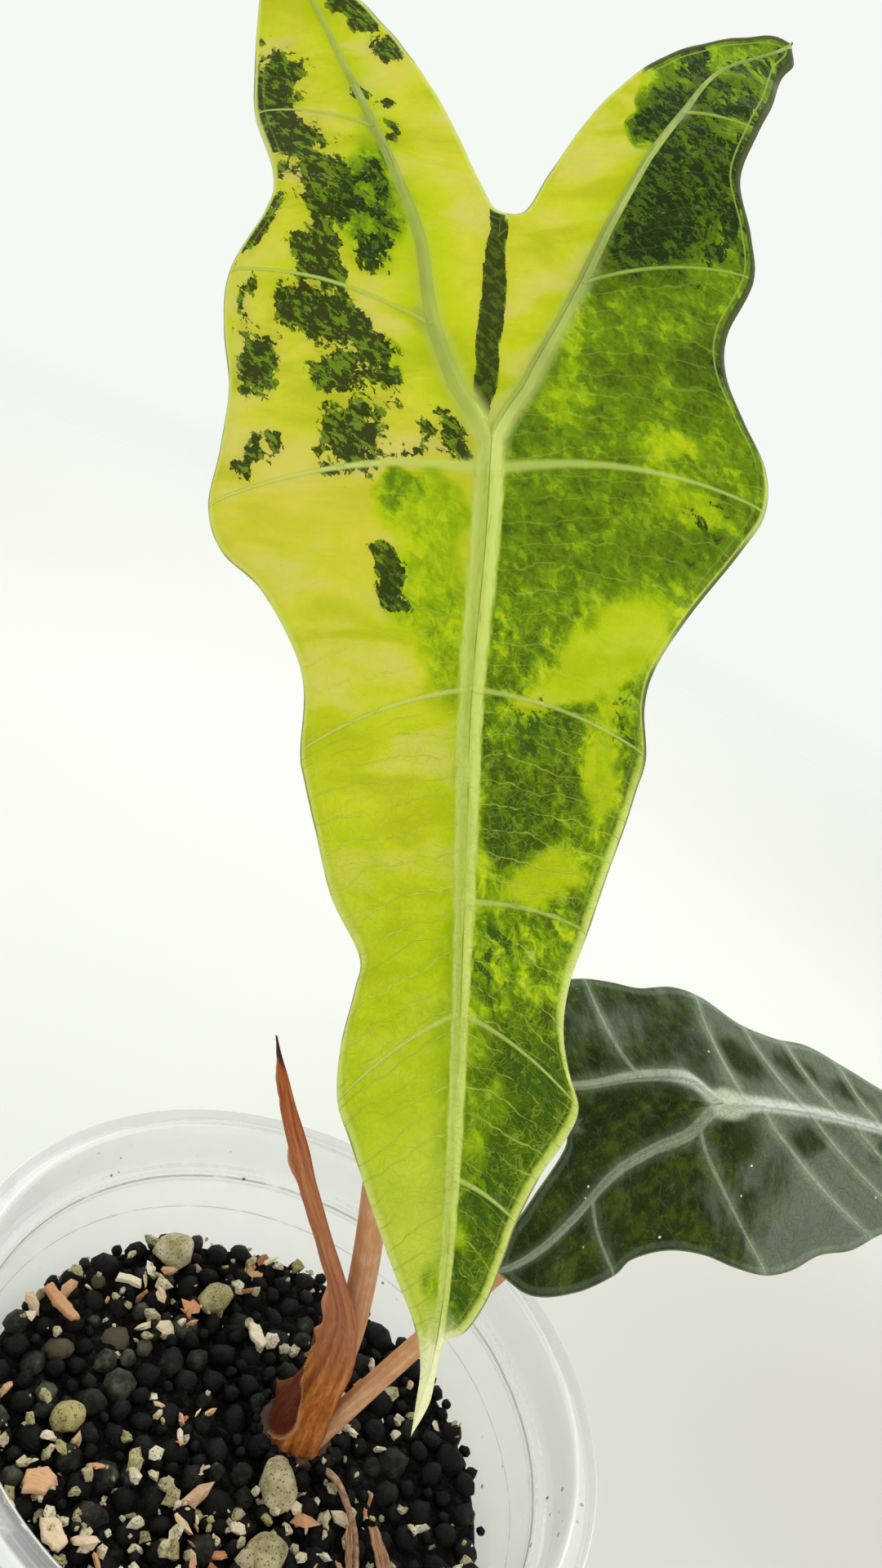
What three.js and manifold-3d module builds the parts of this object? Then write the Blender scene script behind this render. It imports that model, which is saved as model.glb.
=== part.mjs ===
// Potted kris plant: two shield-shaped, wavy-edged leaves on stalks, a dry sheath and a root, growing
// in a thin clear cup filled with round pellets, pale stones and chips of bark.
// Millimetres, +Z up. The origin is the centre of the cup's flat underside.

import * as THREE from 'three';
import { mergeVertices } from 'three/addons/utils/BufferGeometryUtils.js';
import Module from 'manifold-3d';

const wasm = await Module();
wasm.setup();

// The gap that touching pieces keep.
const gap = 0.3;

// The cup.
const potHeight = 75;
const rimRadius = 58.5;
const lipInnerRadius = 53.7;
const ledgeHeight = 63;
const ledgeRadius = 51.5;
const floorRadius = 43;
const floorThickness = 1.2;
const wallThickness = 1;
const potSegments = 44;
const drainHoleRadius = 1.7;
const drainHoleCircle = 22;
const drainHoleCount = 6;
const wallTaper = (ledgeRadius - floorRadius) / ledgeHeight;

// The fill, and the pellets that stand out of its top.
const fillTop = 47.6;
const pelletSpacing = 7.6;
const pelletRadius = [3.6, 4.6];
const fillTopRadius = floorRadius + wallTaper * fillTop - gap;

// The crown, where the stalks leave the stem base.
const crown = new THREE.Vector3(8.5, 6.6, 52);
const crownRadius = 7.2;
const stemBaseDepth = 30;
const holeDepth = 40;

// Blades: their thickness, how far a rib stands out at the back for each mm at the front, how far the
// lateral veins bow back towards the joint, and where the side of a midrib may lie at most.
const bladeThickness = 0.8;
const backRibShare = 0.6;
const veinBow = 0.27;
const farthestRibSide = 0.28;
const ribSideHeight = 0.15;
const veinHalfWidth = 1.1;

const finishes = {
  clearPlastic: { color: 0xe9eeee, roughness: 0.12, metalness: 0, transparent: true, opacity: 0.35 },
  fill: { color: 0x1d1b19, roughness: 0.9, metalness: 0 },
  pumice: { color: 0xb5a98e, roughness: 0.95, metalness: 0 },
  bark: { color: 0xb9855a, roughness: 0.9, metalness: 0 },
  tallBlade: { color: 0x9fb42c, roughness: 0.45, metalness: 0 },
  lowBlade: { color: 0x33432a, roughness: 0.35, metalness: 0 },
  stalk: { color: 0xb08a6c, roughness: 0.55, metalness: 0 },
  drySheath: { color: 0xb06f45, roughness: 0.8, metalness: 0 },
  root: { color: 0x8a6a4c, roughness: 0.85, metalness: 0 },
};

// A small seeded draw, so that the fill is the same on each run.
function seededDraw(seed) {
  let state = seed >>> 0;
  return () => {
    state = (Math.imul(state, 1664525) + 1013904223) >>> 0;
    return state / 4294967296;
  };
}

function namedMesh(name, geometry, finish) {
  const mesh = new THREE.Mesh(geometry, new THREE.MeshStandardMaterial(finish));
  mesh.name = name;
  return mesh;
}

// Solids for cutting and joining.

// Without its normals and texture places, a mesh's shared corners can be merged.
function stripped(geometry) {
  geometry.deleteAttribute('normal');
  geometry.deleteAttribute('uv');
  return geometry;
}

function toSolid(geometry) {
  const merged = mergeVertices(stripped(geometry.clone()), 1e-4);
  return new wasm.Manifold(new wasm.Mesh({
    numProp: 3,
    vertProperties: new Float32Array(merged.attributes.position.array),
    triVerts: new Uint32Array(merged.index.array),
  }));
}

function toGeometry(solid) {
  const mesh = solid.getMesh();
  const geometry = new THREE.BufferGeometry();
  geometry.setAttribute('position', new THREE.BufferAttribute(new Float32Array(mesh.vertProperties), 3));
  geometry.setIndex(new THREE.BufferAttribute(new Uint32Array(mesh.triVerts), 1));
  geometry.computeVertexNormals();
  return geometry;
}

function join(geometries) {
  return geometries.map(toSolid).reduce((all, next) => all.add(next));
}

// The largest body of a solid, without the scraps that a cut leaves loose.
function largestBody(solid) {
  return solid.decompose().reduce((best, next) => (next.volume() > best.volume() ? next : best));
}

function meshOf(positions, index) {
  const geometry = new THREE.BufferGeometry();
  const numbers = positions.flatMap((position) => position.toArray());
  geometry.setAttribute('position', new THREE.Float32BufferAttribute(numbers, 3));
  geometry.setIndex(index);
  geometry.computeVertexNormals();
  return geometry;
}

// A closed solid from an open sheet: points and triangles, a direction out of each point and how far
// the front and the back stand off. The front and back share one split into triangles.
function thickenSheet(points, triangles, outward, front, back) {
  const count = points.length;
  const positions = [];
  points.forEach((point, i) => positions.push(point.clone().addScaledVector(outward[i], front[i])));
  points.forEach((point, i) => positions.push(point.clone().addScaledVector(outward[i], -back[i])));
  const index = [];
  const edges = new Map();
  for (const [a, b, c] of triangles) {
    index.push(a, b, c, a + count, c + count, b + count);
    for (const [from, to] of [[a, b], [b, c], [c, a]]) {
      edges.set(`${from},${to}`, [from, to]);
    }
  }
  for (const [from, to] of edges.values()) {
    if (edges.has(`${to},${from}`)) continue;
    index.push(to, from, from + count, to, from + count, to + count);
  }
  return meshOf(positions, index);
}

// The triangles of a grid of numbered points, without those that a merged corner has closed up.
function gridTriangles(grid) {
  const triangles = [];
  for (let row = 0; row + 1 < grid.length; row += 1) {
    for (let column = 0; column + 1 < grid[row].length; column += 1) {
      const a = grid[row][column];
      const b = grid[row][column + 1];
      const c = grid[row + 1][column + 1];
      const d = grid[row + 1][column];
      for (const corners of [[a, b, c], [a, c, d]]) {
        if (new Set(corners).size === 3) triangles.push(corners);
      }
    }
  }
  return triangles;
}

// A round stalk or root along a curve, with a radius for each fraction of its length and flat ends.
// A level foot is cut parallel to the ground, and any other square to the curve.
function taperedTube(curve, radiusAt, steps, sides, levelFoot = false) {
  const frames = curve.computeFrenetFrames(steps, false);
  const positions = [];
  const index = [];
  for (let step = 0; step <= steps; step += 1) {
    const centre = curve.getPointAt(step / steps);
    for (let side = 0; side < sides; side += 1) {
      const angle = (side / sides) * Math.PI * 2;
      const radius = radiusAt(step / steps);
      const corner = centre.clone()
        .addScaledVector(frames.normals[step], Math.cos(angle) * radius)
        .addScaledVector(frames.binormals[step], Math.sin(angle) * radius);
      if (step === 0 && levelFoot) {
        const tangent = frames.tangents[0];
        corner.addScaledVector(tangent, (centre.z - corner.z) / tangent.z);
      }
      positions.push(corner);
    }
  }
  for (let step = 0; step < steps; step += 1) {
    for (let side = 0; side < sides; side += 1) {
      const a = step * sides + side;
      const b = step * sides + ((side + 1) % sides);
      index.push(a, b, b + sides, a, b + sides, a + sides);
    }
  }
  for (let side = 1; side + 1 < sides; side += 1) {
    const last = steps * sides;
    index.push(0, side + 1, side, last, last + side, last + side + 1);
  }
  return meshOf(positions, index);
}

function point(x, y, z) {
  return new THREE.Vector3(x, y, z);
}

// Lathe profiles are drawn as radius and height.
function turned(profile, segments) {
  const geometry = new THREE.LatheGeometry(profile.map(([r, z]) => new THREE.Vector2(r, z)), segments);
  geometry.rotateX(Math.PI / 2);
  return geometry;
}

// The cup: a tapering wall, a ledge, a straight collar above it and a rolled rim.
function pot() {
  const collarOuter = lipInnerRadius + wallThickness;
  const body = toSolid(turned([
    [0, 0],
    [floorRadius + wallThickness - 0.8, 0],
    [floorRadius + wallThickness, 0.8],
    [ledgeRadius + wallThickness, ledgeHeight],
    [collarOuter, ledgeHeight + 1.4],
    [collarOuter + 0.2, potHeight - 2],
    [rimRadius - 1.1, potHeight - 1.6],
    [rimRadius - 0.9, potHeight - 4],
    [rimRadius, potHeight - 4],
    [rimRadius, potHeight - 0.8],
    [rimRadius - 0.7, potHeight],
    [lipInnerRadius + 1.4, potHeight],
    [lipInnerRadius + 0.3, potHeight - 1],
    [lipInnerRadius - 0.4, ledgeHeight + 2],
    [ledgeRadius + 0.3, ledgeHeight + 0.6],
    [ledgeRadius, ledgeHeight - 0.6],
    [floorRadius + wallTaper * floorThickness, floorThickness],
    [0, floorThickness],
  ], potSegments));
  let drained = body;
  for (let hole = 0; hole < drainHoleCount; hole += 1) {
    const angle = (hole / drainHoleCount) * Math.PI * 2;
    const drill = new THREE.CylinderGeometry(drainHoleRadius, drainHoleRadius, 4, 8);
    drill.rotateX(Math.PI / 2);
    drill.translate(Math.cos(angle) * drainHoleCircle, Math.sin(angle) * drainHoleCircle, 0);
    drained = drained.subtract(toSolid(drill));
  }
  return toGeometry(drained);
}

// Loose pieces that lie on the fill. Each is built larger by grow to cut its own seat.

const stones = [
  { at: [-26.5, 34, 50.4], size: [4.3, 3.9, 3.4], turn: 0.4 },
  { at: [-14.9, 27.5, 50.2], size: [3.6, 3, 2.8], turn: 1.2 },
  { at: [8.6, -5, 50.6], size: [3.1, 4.7, 3.2], turn: 0.3 },
  { at: [10.3, -17.7, 50.2], size: [3.2, 3.7, 2.9], turn: 2.1 },
  { at: [-29.4, -10.4, 50], size: [2.9, 2.6, 2.5], turn: 0.9 },
  { at: [25, -30, 50.2], size: [3.6, 3.1, 2.9], turn: 1.7 },
];

const chips = [
  {
    at: [-40.3, 9.6, 50.8],
    outline: [[-4, -0.9], [-1, -1.7], [3.4, -1.2], [4.2, 0.4], [0.6, 1.5], [-3.2, 1]],
    thickness: 1.5,
    turn: -0.5,
  },
  {
    at: [-28.6, -23.6, 50.9],
    outline: [[-2.6, -1.8], [1.2, -2.2], [3, 0.2], [1.4, 2.1], [-2, 1.7]],
    thickness: 1.7,
    turn: 0.5,
  },
  {
    at: [-22.6, -30, 50.5],
    outline: [[-3, -1.1], [0.4, -1.9], [3.1, -0.6], [2.2, 1.4], [-1.8, 1.6]],
    thickness: 1.4,
    turn: -0.7,
  },
  {
    at: [-31.6, 21.4, 50.9],
    outline: [[-2.7, -1], [0, -0.4], [2.7, -1.1], [2.3, 0.7], [0, 1.3], [-2.4, 0.8]],
    thickness: 1.1,
    turn: 0.2,
  },
  {
    at: [-4.6, 23, 50.9],
    outline: [[-3.1, -0.7], [0.6, -1.4], [3.2, -0.3], [2.4, 1.1], [-1.9, 1.2]],
    thickness: 1.3,
    turn: -0.9,
  },
];

function stoneShape({ at, size, turn }, seed, grow = 0) {
  const shape = mergeVertices(stripped(new THREE.IcosahedronGeometry(1, 1)), 1e-4);
  const draw = seededDraw(seed);
  const place = shape.attributes.position;
  for (let i = 0; i < place.count; i += 1) {
    const lump = 0.9 + 0.18 * draw();
    place.setXYZ(
      i,
      place.getX(i) * (size[0] * lump + grow),
      place.getY(i) * (size[1] * lump + grow),
      place.getZ(i) * (size[2] * lump + grow),
    );
  }
  shape.rotateZ(turn);
  shape.translate(...at);
  shape.computeVertexNormals();
  return shape;
}

// A chip's corners move out further than its edges when it grows.
const cornerGrowth = 1.4;

function chipShape({ at, outline, thickness, turn }, grow = 0) {
  const corners = outline.map(([x, y]) => {
    const corner = new THREE.Vector2(x, y);
    return corner.setLength(corner.length() + grow * cornerGrowth);
  });
  const geometry = new THREE.ExtrudeGeometry(new THREE.Shape(corners), {
    depth: thickness + 2 * grow,
    bevelEnabled: false,
  });
  geometry.translate(0, 0, -thickness / 2 - grow);
  geometry.rotateZ(turn);
  geometry.translate(...at);
  return geometry;
}

// The root that leaves the crown and runs over the fill, then dips into it.
const surfaceRootPath = new THREE.CatmullRomCurve3([
  point(14.9, 1.6, 51.3),
  point(18.2, 0.2, 51.4),
  point(21, -2.9, 51.2),
  point(23.4, -6.7, 51.1),
  point(25.2, -12.2, 50.9),
  point(26.4, -17.5, 50.2),
  point(27.2, -22, 48.2),
]);

function surfaceRootShape(grow = 0) {
  return taperedTube(surfaceRootPath, (along) => 0.6 - 0.12 * along + grow, 16, 6);
}

// Dry brown strips, each a bent flat ribbon that lies on the pellets.
const strips = [
  { from: [22.2, -7.4, 51.8], middle: [23.1, -11.3, 52.2], to: [24.2, -15.6, 51.7], width: 1.7 },
  { from: [26.6, -5, 51], middle: [29.2, -9.6, 51.6], to: [32, -15.4, 51], width: 2.5 },
];
const stripThickness = 0.8;

function stripShape({ from, middle, to, width }, grow = 0) {
  const path = new THREE.QuadraticBezierCurve3(point(...from), point(...middle), point(...to));
  const steps = 5;
  const points = [];
  const grid = [];
  const outward = [];
  for (let step = 0; step <= steps; step += 1) {
    const along = step / steps;
    const stretch = along === 0 ? -grow : along === 1 ? grow : 0;
    const tangent = path.getTangentAt(along);
    const centre = path.getPointAt(along).addScaledVector(tangent, stretch);
    const side = new THREE.Vector3().crossVectors(tangent, point(0, 0, 1)).normalize();
    const halfWidth = (width / 2) * (0.75 + 0.25 * Math.sin(Math.PI * along)) + grow;
    grid.push([points.length, points.length + 1]);
    points.push(centre.clone().addScaledVector(side, halfWidth));
    points.push(centre.clone().addScaledVector(side, -halfWidth));
    outward.push(point(0, 0, 1), point(0, 0, 1));
  }
  const half = points.map(() => stripThickness / 2 + grow);
  return thickenSheet(points, gridTriangles(grid).map(([a, b, c]) => [a, c, b]), outward, half, half);
}

// The fill: a tapering plug with round pellets set in rings on its top, each sunk to its waist.
function pelletPlaces() {
  const draw = seededDraw(71);
  const places = [];
  const outerRing = fillTopRadius - pelletRadius[1] - 0.2;
  for (let ring = outerRing; ring > 0; ring -= pelletSpacing) {
    const count = Math.round((2 * Math.PI * ring) / pelletSpacing);
    const start = draw() * Math.PI * 2;
    for (let i = 0; i < count; i += 1) {
      const inward = ring === outerRing ? 0 : 1;
      const radius = ring + inward * (draw() - 0.5) * 3;
      const angle = start + ((i + 0.5 * (draw() - 0.5)) / count) * Math.PI * 2;
      places.push({
        x: Math.cos(angle) * radius,
        y: Math.sin(angle) * radius,
        z: fillTop - 0.7 + 1.1 * (draw() - 0.5),
        radius: pelletRadius[0] + (pelletRadius[1] - pelletRadius[0]) * draw(),
        turn: [draw() * 6.28, draw() * 6.28, draw() * 6.28],
      });
    }
  }
  return places.filter(({ x, y }) => (
    Math.hypot(x - crown.x, y - crown.y) > crownRadius + 4
    && stones.every(({ at, size }) => Math.hypot(x - at[0], y - at[1]) > size[0] * 0.9)
  ));
}

function growingMedium() {
  const bottom = floorThickness + gap;
  const plug = toSolid(turned([
    [0, bottom],
    [floorRadius + wallTaper * bottom - gap - 0.1, bottom],
    [fillTopRadius - 0.1, fillTop],
    [0, fillTop],
  ], potSegments));
  const pellets = pelletPlaces().map(({ x, y, z, radius, turn }) => {
    const pellet = new THREE.IcosahedronGeometry(radius, 0);
    pellet.scale(1, 1, 0.94);
    pellet.rotateX(turn[0]);
    pellet.rotateY(turn[1]);
    pellet.rotateZ(turn[2]);
    pellet.translate(x, y, z);
    return pellet;
  });
  let fill = plug.add(join(pellets));
  const hole = new THREE.CylinderGeometry(crownRadius + gap, crownRadius + gap, holeDepth, 18);
  hole.rotateX(Math.PI / 2);
  hole.translate(crown.x, crown.y, fillTop + 6 - holeDepth / 2);
  const seats = [
    hole,
    ...stones.map((stone, i) => stoneShape(stone, i + 1, gap)),
    ...chips.map((chip) => chipShape(chip, gap)),
    ...strips.map((strip) => stripShape(strip, gap)),
    surfaceRootShape(gap),
  ];
  for (const seat of seats) fill = fill.subtract(toSolid(seat));
  return toGeometry(largestBody(fill));
}

// The stem base: a short ringed stump with thick roots that run down inside its hole.
function rhizome() {
  const top = crown.z;
  const stump = turned([
    [0, top - stemBaseDepth],
    [3.6, top - stemBaseDepth + 0.8],
    [5.9, top - stemBaseDepth + 4],
    [6.6, top - 20],
    [6.1, top - 18.6],
    [6.9, top - 13],
    [6.5, top - 11.4],
    [crownRadius, top - 6],
    [crownRadius, top - 0.6],
    [crownRadius - 0.6, top],
    [0, top],
  ], 18);
  stump.translate(crown.x, crown.y, 0);
  const roots = Array.from({ length: 6 }, (_, i) => {
    const angle = (i / 6) * Math.PI * 2 + 0.3;
    const out = (radius, z, turn) => point(
      crown.x + Math.cos(angle + turn) * radius,
      crown.y + Math.sin(angle + turn) * radius,
      z,
    );
    const path = new THREE.CatmullRomCurve3([
      out(2.6, top - 24, 0),
      out(4.6, top - 29, 0.15),
      out(5.6, top - 33, 0.3 - 0.08 * (i % 3)),
      out(5.2, top - 36.5, 0.5),
    ]);
    return taperedTube(path, (along) => 1.2 - 0.55 * along, 6, 6);
  });
  return toGeometry(join([stump, ...roots]));
}

// A cubic path for a stalk, from the crown to the back of a blade.
const petiolePaths = {
  tall: new THREE.CubicBezierCurve3(
    point(7.6, 8.8, crown.z + gap),
    point(20, 9.5, 80),
    point(-22, 23, 140),
    point(-32.9, 16.65, 221.8),
  ),
  low: new THREE.CubicBezierCurve3(
    point(11.6, 4.8, crown.z + gap),
    point(21, 6.5, 84),
    point(38, 27, 114),
    point(49.7, 29.05, 136.6),
  ),
};

function petioleTall() {
  return taperedTube(petiolePaths.tall, (along) => 2.85 - 1.2 * along, 20, 10, true);
}

function petioleLow() {
  return taperedTube(petiolePaths.low, (along) => 2.1 - 0.8 * along, 14, 10, true);
}

// The dry sheath: a sheet curled round the crown that narrows upward to a thin point. Each station is
// the centre of its curl, the curl's radius and half of the angle that it covers.
const sheathStations = [
  { at: [8.5, 6.5, crown.z + gap], radius: 6.3, half: 1.7 },
  { at: [8.6, 6.6, 58], radius: 6, half: 1.5 },
  { at: [9, 7.2, 65], radius: 5, half: 1.35 },
  { at: [8.8, 8.2, 73], radius: 4.2, half: 1.3 },
  { at: [6.6, 8, 81], radius: 3.4, half: 1.25 },
  { at: [0.3, 8, 90], radius: 3.2, half: 1.25 },
  { at: [-9.2, 10, 101], radius: 2.8, half: 1.2 },
  { at: [-17, 12.3, 110], radius: 2.2, half: 1.1 },
  { at: [-21.8, 14.3, 115.5], radius: 1.5, half: 1 },
  { at: [-25.2, 16, 119], radius: 0.9, half: 0.6 },
];
const sheathFacing = -2.3;
const sheathThickness = 0.7;

function cataphyll() {
  const rows = 22;
  const columns = 8;
  const last = sheathStations.length - 1;
  const centres = new THREE.CatmullRomCurve3(sheathStations.map(({ at }) => point(...at)));
  const points = [];
  const outward = [];
  const grid = [];
  for (let row = 0; row <= rows; row += 1) {
    const place = (row / rows) * last;
    const station = Math.min(Math.floor(place), last - 1);
    const mix = place - station;
    const [lower, upper] = sheathStations.slice(station, station + 2);
    const between = (key) => THREE.MathUtils.lerp(lower[key], upper[key], mix);
    const centre = centres.getPoint(row / rows);
    const line = [];
    for (let column = 0; column <= columns; column += 1) {
      const angle = sheathFacing + between('half') * (2 * (column / columns) - 1);
      const out = point(Math.cos(angle), Math.sin(angle), 0);
      line.push(points.length);
      points.push(centre.clone().addScaledVector(out, between('radius')));
      outward.push(out);
    }
    grid.push(line);
  }
  const half = points.map(() => sheathThickness / 2);
  return thickenSheet(points, gridTriangles(grid), outward, half, half);
}

// Blades. Each is worked out on flat axes of its own: across, along towards the tip and out of its
// upper face, from the place where the stalk joins. A row is named by its reach: millimetres along the
// midrib towards the tip, or a fraction from 0 to -1 along a basal rib towards the tip of its lobe.

const tallBlade = {
  joint: point(-33.1, 14, 223.3),
  across: point(0.934, 0.106, 0.342),
  along: point(0.35, -0.48, -0.805),
  out: point(-0.079, -0.871, 0.485),
  notch: 38.2,
  notchReach: -0.28,
  ribWidth: [2.6, 0.9],
  ribHeight: [1.3, 0.5],
  // The midrib, from the tip to the joint: reach, across.
  midrib: [[134, 0], [123, 2.1], [113, 2.8], [98, 2.6], [80, 2], [60, 1.1], [36, 0.1], [15, 0.3], [0, 0]],
  form(across, along) {
    const out = Math.abs(across);
    const phase = across < 0 ? 0.6 : 2.3;
    const wave = 1.8 * Math.min(out / 38, 1.2) ** 2 * Math.sin((2 * Math.PI * along) / 46 + phase);
    return -0.0007 * (along - 15) ** 2 + 0.1 * out - 0.0032 * out ** 2 + wave;
  },
  sides: {
    left: {
      lobeLength: 88,
      veins: [79.4, 36, 4, -0.2, -0.58],
      basal: [[0, 0], [-8, -5.3], [-17.8, -9.6], [-31, -12.5], [-40.4, -16.4], [-52.4, -21.9], [-63.8, -27.5],
        [-74.3, -33.1], [-88, -41.5]],
      // The margin, from the tip to the lobe's tip: reach, across, along.
      margin: [[134, 0, 134], [129, 0.3, 130], [123.5, 0.5, 125], [117, -0.8, 119.8], [107.5, -4.3, 112.6],
        [97, -7.8, 104.8], [88, -10.9, 97.5], [79.4, -13.2, 92], [74, -13.4, 85], [69, -12.2, 77.5],
        [65, -12, 73], [59, -16.4, 65.6], [53, -19.2, 57.3], [45, -21.4, 50.5], [36, -22.4, 46.5],
        [31.5, -22.8, 38], [27, -25, 31.7], [21, -30.5, 23.5], [14.5, -36.5, 18.5], [4, -38.9, 12.5],
        [-0.02, -38.2, 4], [-0.09, -38.6, -7], [-0.15, -40.9, -17.5], [-0.2, -40.9, -26], [-0.31, -36.2, -35.5],
        [-0.45, -35.8, -42], [-0.58, -40.6, -55], [-0.7, -42.1, -65], [-0.84, -42.4, -76], [-1, -41.5, -88]],
      // The edge of the cleft between the lobes: reach, across, along.
      cleft: [[-0.28, 0, -38.2], [-0.35, -2.4, -39.2], [-0.43, -5.6, -45], [-0.52, -10.6, -55.1],
        [-0.61, -15.2, -62.8], [-0.7, -20.5, -70], [-0.8, -27.5, -77.5], [-0.9, -35, -84], [-1, -41.5, -88]],
    },
    right: {
      lobeLength: 77.7,
      veins: [100.5, 79.4, 65, 36, 4, -0.34, -0.74],
      basal: [[0, 0], [-8.5, 4.1], [-23.5, 10.2], [-36.3, 14.9], [-48, 19.9], [-57.6, 25.1], [-67.7, 31],
        [-77.7, 43.2]],
      margin: [[134, 0, 134], [129, 2.1, 129.5], [124, 2.8, 124], [121.5, 3.4, 121.6], [117, 6.2, 119.9],
        [111, 8.6, 115.6], [106, 10.2, 110.5], [100.5, 11.6, 105.6], [94, 14.2, 99.5], [86, 17.3, 94.2],
        [79.4, 18.5, 90.3], [76, 17, 86], [72, 15.8, 80.5], [68.5, 16.2, 74.5], [65, 18.2, 67.5],
        [57, 20.2, 60], [49, 22.2, 53], [42, 23.4, 48], [36, 24.4, 43.5], [31.5, 23.8, 36.5],
        [27, 25.2, 30.5], [20, 29.8, 22.2], [11, 36.5, 12.3], [4, 39.7, 6.5], [-0.04, 39.3, 0.5],
        [-0.12, 35.8, -6.5], [-0.19, 33.2, -14], [-0.26, 33.5, -21.5], [-0.34, 37.4, -31.5], [-0.44, 36.6, -38.5],
        [-0.57, 34.4, -47], [-0.74, 37, -56], [-0.83, 39.6, -63], [-0.92, 41, -71], [-1, 43.2, -77.7]],
      cleft: [[-0.28, 0, -38.2], [-0.36, 2.6, -38.9], [-0.45, 5.4, -45], [-0.54, 9.8, -53.7], [-0.63, 14, -60.4],
        [-0.72, 20.5, -68], [-0.81, 27.6, -73.2], [-0.9, 35.5, -76.8], [-1, 43.2, -77.7]],
    },
  },
  rowStep: 5.6,
  columns: [0.3, 0.55, 0.8, 1],
};

const lowBlade = {
  joint: point(50.2, 27.3, 138.3),
  across: point(0.355, -0.587, -0.728),
  along: point(0.914, 0.382, 0.138),
  out: point(0.197, -0.714, 0.672),
  notch: 29.5,
  notchReach: -0.5,
  ribWidth: [1.7, 0.7],
  ribHeight: [1, 0.4],
  midrib: [[80, 2], [70, 3.4], [55, 3.6], [35, 2.2], [20, 0.4], [8, -0.2], [0, 0]],
  form(across, along) {
    const out = Math.abs(across);
    const phase = across < 0 ? 0.4 : 2;
    const wave = 1.3 * Math.min(out / 27, 1.2) ** 2 * Math.sin((2 * Math.PI * along) / 34 + phase);
    const fold = across < 0 ? -0.6 : -0.06;
    return -0.0011 * (along - 8) ** 2 + fold * out - 0.002 * out ** 2 + wave;
  },
  sides: {
    // Left is the upper half of this blade as it stands, and right the lower half.
    left: {
      lobeLength: 46.5,
      veins: [52, 24, 6, -0.35],
      basal: [[0, 0], [-5, -3.9], [-14, -3.6], [-27, -0.8], [-37, -0.6], [-46.5, -3.5]],
      margin: [[80, 2, 80], [74, -0.2, 74.5], [66, -2.4, 67], [59, -4.6, 60], [52, -6.2, 54.5], [45, -5.4, 47.5],
        [38, -5, 40.5], [31, -9, 32.5], [24, -13, 25], [17, -13.8, 17.5], [11, -16, 10.2], [6, -20.4, 4],
        [-0.04, -22.1, -1.5], [-0.16, -21.2, -8.5], [-0.25, -21.8, -14.6], [-0.35, -21.4, -22],
        [-0.55, -18.2, -33.4], [-0.8, -11.2, -42.3], [-1, -3.5, -46.5]],
      cleft: [[-0.5, 6.2, -29.5], [-0.62, 5.4, -33], [-0.76, 3.4, -38], [-0.88, 0.6, -42.5], [-1, -3.5, -46.5]],
    },
    right: {
      lobeLength: 39.5,
      veins: [50, 24, 4, -0.6],
      basal: [[0, 0], [-6.2, 5.5], [-13.2, 8.6], [-19.8, 13], [-26.8, 20.6], [-33, 26], [-39.5, 29.2]],
      margin: [[80, 2, 80], [75, 6, 75.5], [68, 9.6, 69], [60, 11.4, 62], [50, 14.8, 54.5], [43, 17.2, 46],
        [36, 18.8, 40], [30, 20.6, 34], [24, 23.3, 28], [17.5, 24.4, 22], [11, 27.2, 17], [4, 28.2, 11.5],
        [-0.05, 27, 4], [-0.2, 25.2, -2.5], [-0.34, 24.8, -9], [-0.47, 26.6, -14.8], [-0.6, 29.4, -17.6],
        [-0.72, 32.2, -24], [-0.86, 32.8, -33], [-1, 29.2, -39.5]],
      cleft: [[-0.5, 6.2, -29.5], [-0.6, 8.8, -29], [-0.7, 13.6, -31.6], [-0.8, 19, -35.3], [-0.9, 24.4, -38.6],
        [-1, 29.2, -39.5]],
    },
  },
  rowStep: 5,
  columns: [0.35, 0.65, 1],
};

// A smooth curve through a table whose first column is the reach: the rest of the row at any reach.
function lookUp(table, reach) {
  let first = 0;
  while (first + 2 < table.length && reach < table[first + 1][0]) first += 1;
  const span = table[first + 1][0] - table[first][0];
  const mix = THREE.MathUtils.clamp((reach - table[first][0]) / span, 0, 1);
  const curve = new THREE.SplineCurve(table.map((row) => new THREE.Vector2(row[1], row[2] ?? 0)));
  const place = curve.getPoint((first + mix) / (table.length - 1));
  return [place.x, place.y];
}

// The rows of a blade: each lateral vein with a row close on either side, and even rows between them.
function bladeRows(blade) {
  const lobeScale = 0.5 * (blade.sides.left.lobeLength + blade.sides.right.lobeLength);
  const lengthOf = (reach) => (reach < 0 ? reach * lobeScale : reach);
  const reachOf = (length) => (length < 0 ? length / lobeScale : length);
  const veins = [...new Set([...blade.sides.left.veins, ...blade.sides.right.veins])].map(lengthOf);
  const tip = blade.midrib[0][0];
  const fixed = [tip, tip - 4, tip - 9, 0, lengthOf(blade.notchReach), -lobeScale * 0.96, -lobeScale];
  veins.forEach((vein) => fixed.push(vein + veinHalfWidth, vein, vein - veinHalfWidth));
  fixed.sort((a, b) => b - a);
  const rows = [];
  fixed.forEach((length, i) => {
    rows.push(length);
    if (i + 1 === fixed.length) return;
    const parts = Math.ceil((length - fixed[i + 1]) / blade.rowStep);
    for (let part = 1; part < parts; part += 1) {
      rows.push(length + ((fixed[i + 1] - length) * part) / parts);
    }
  });
  return rows.map(reachOf);
}

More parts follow.
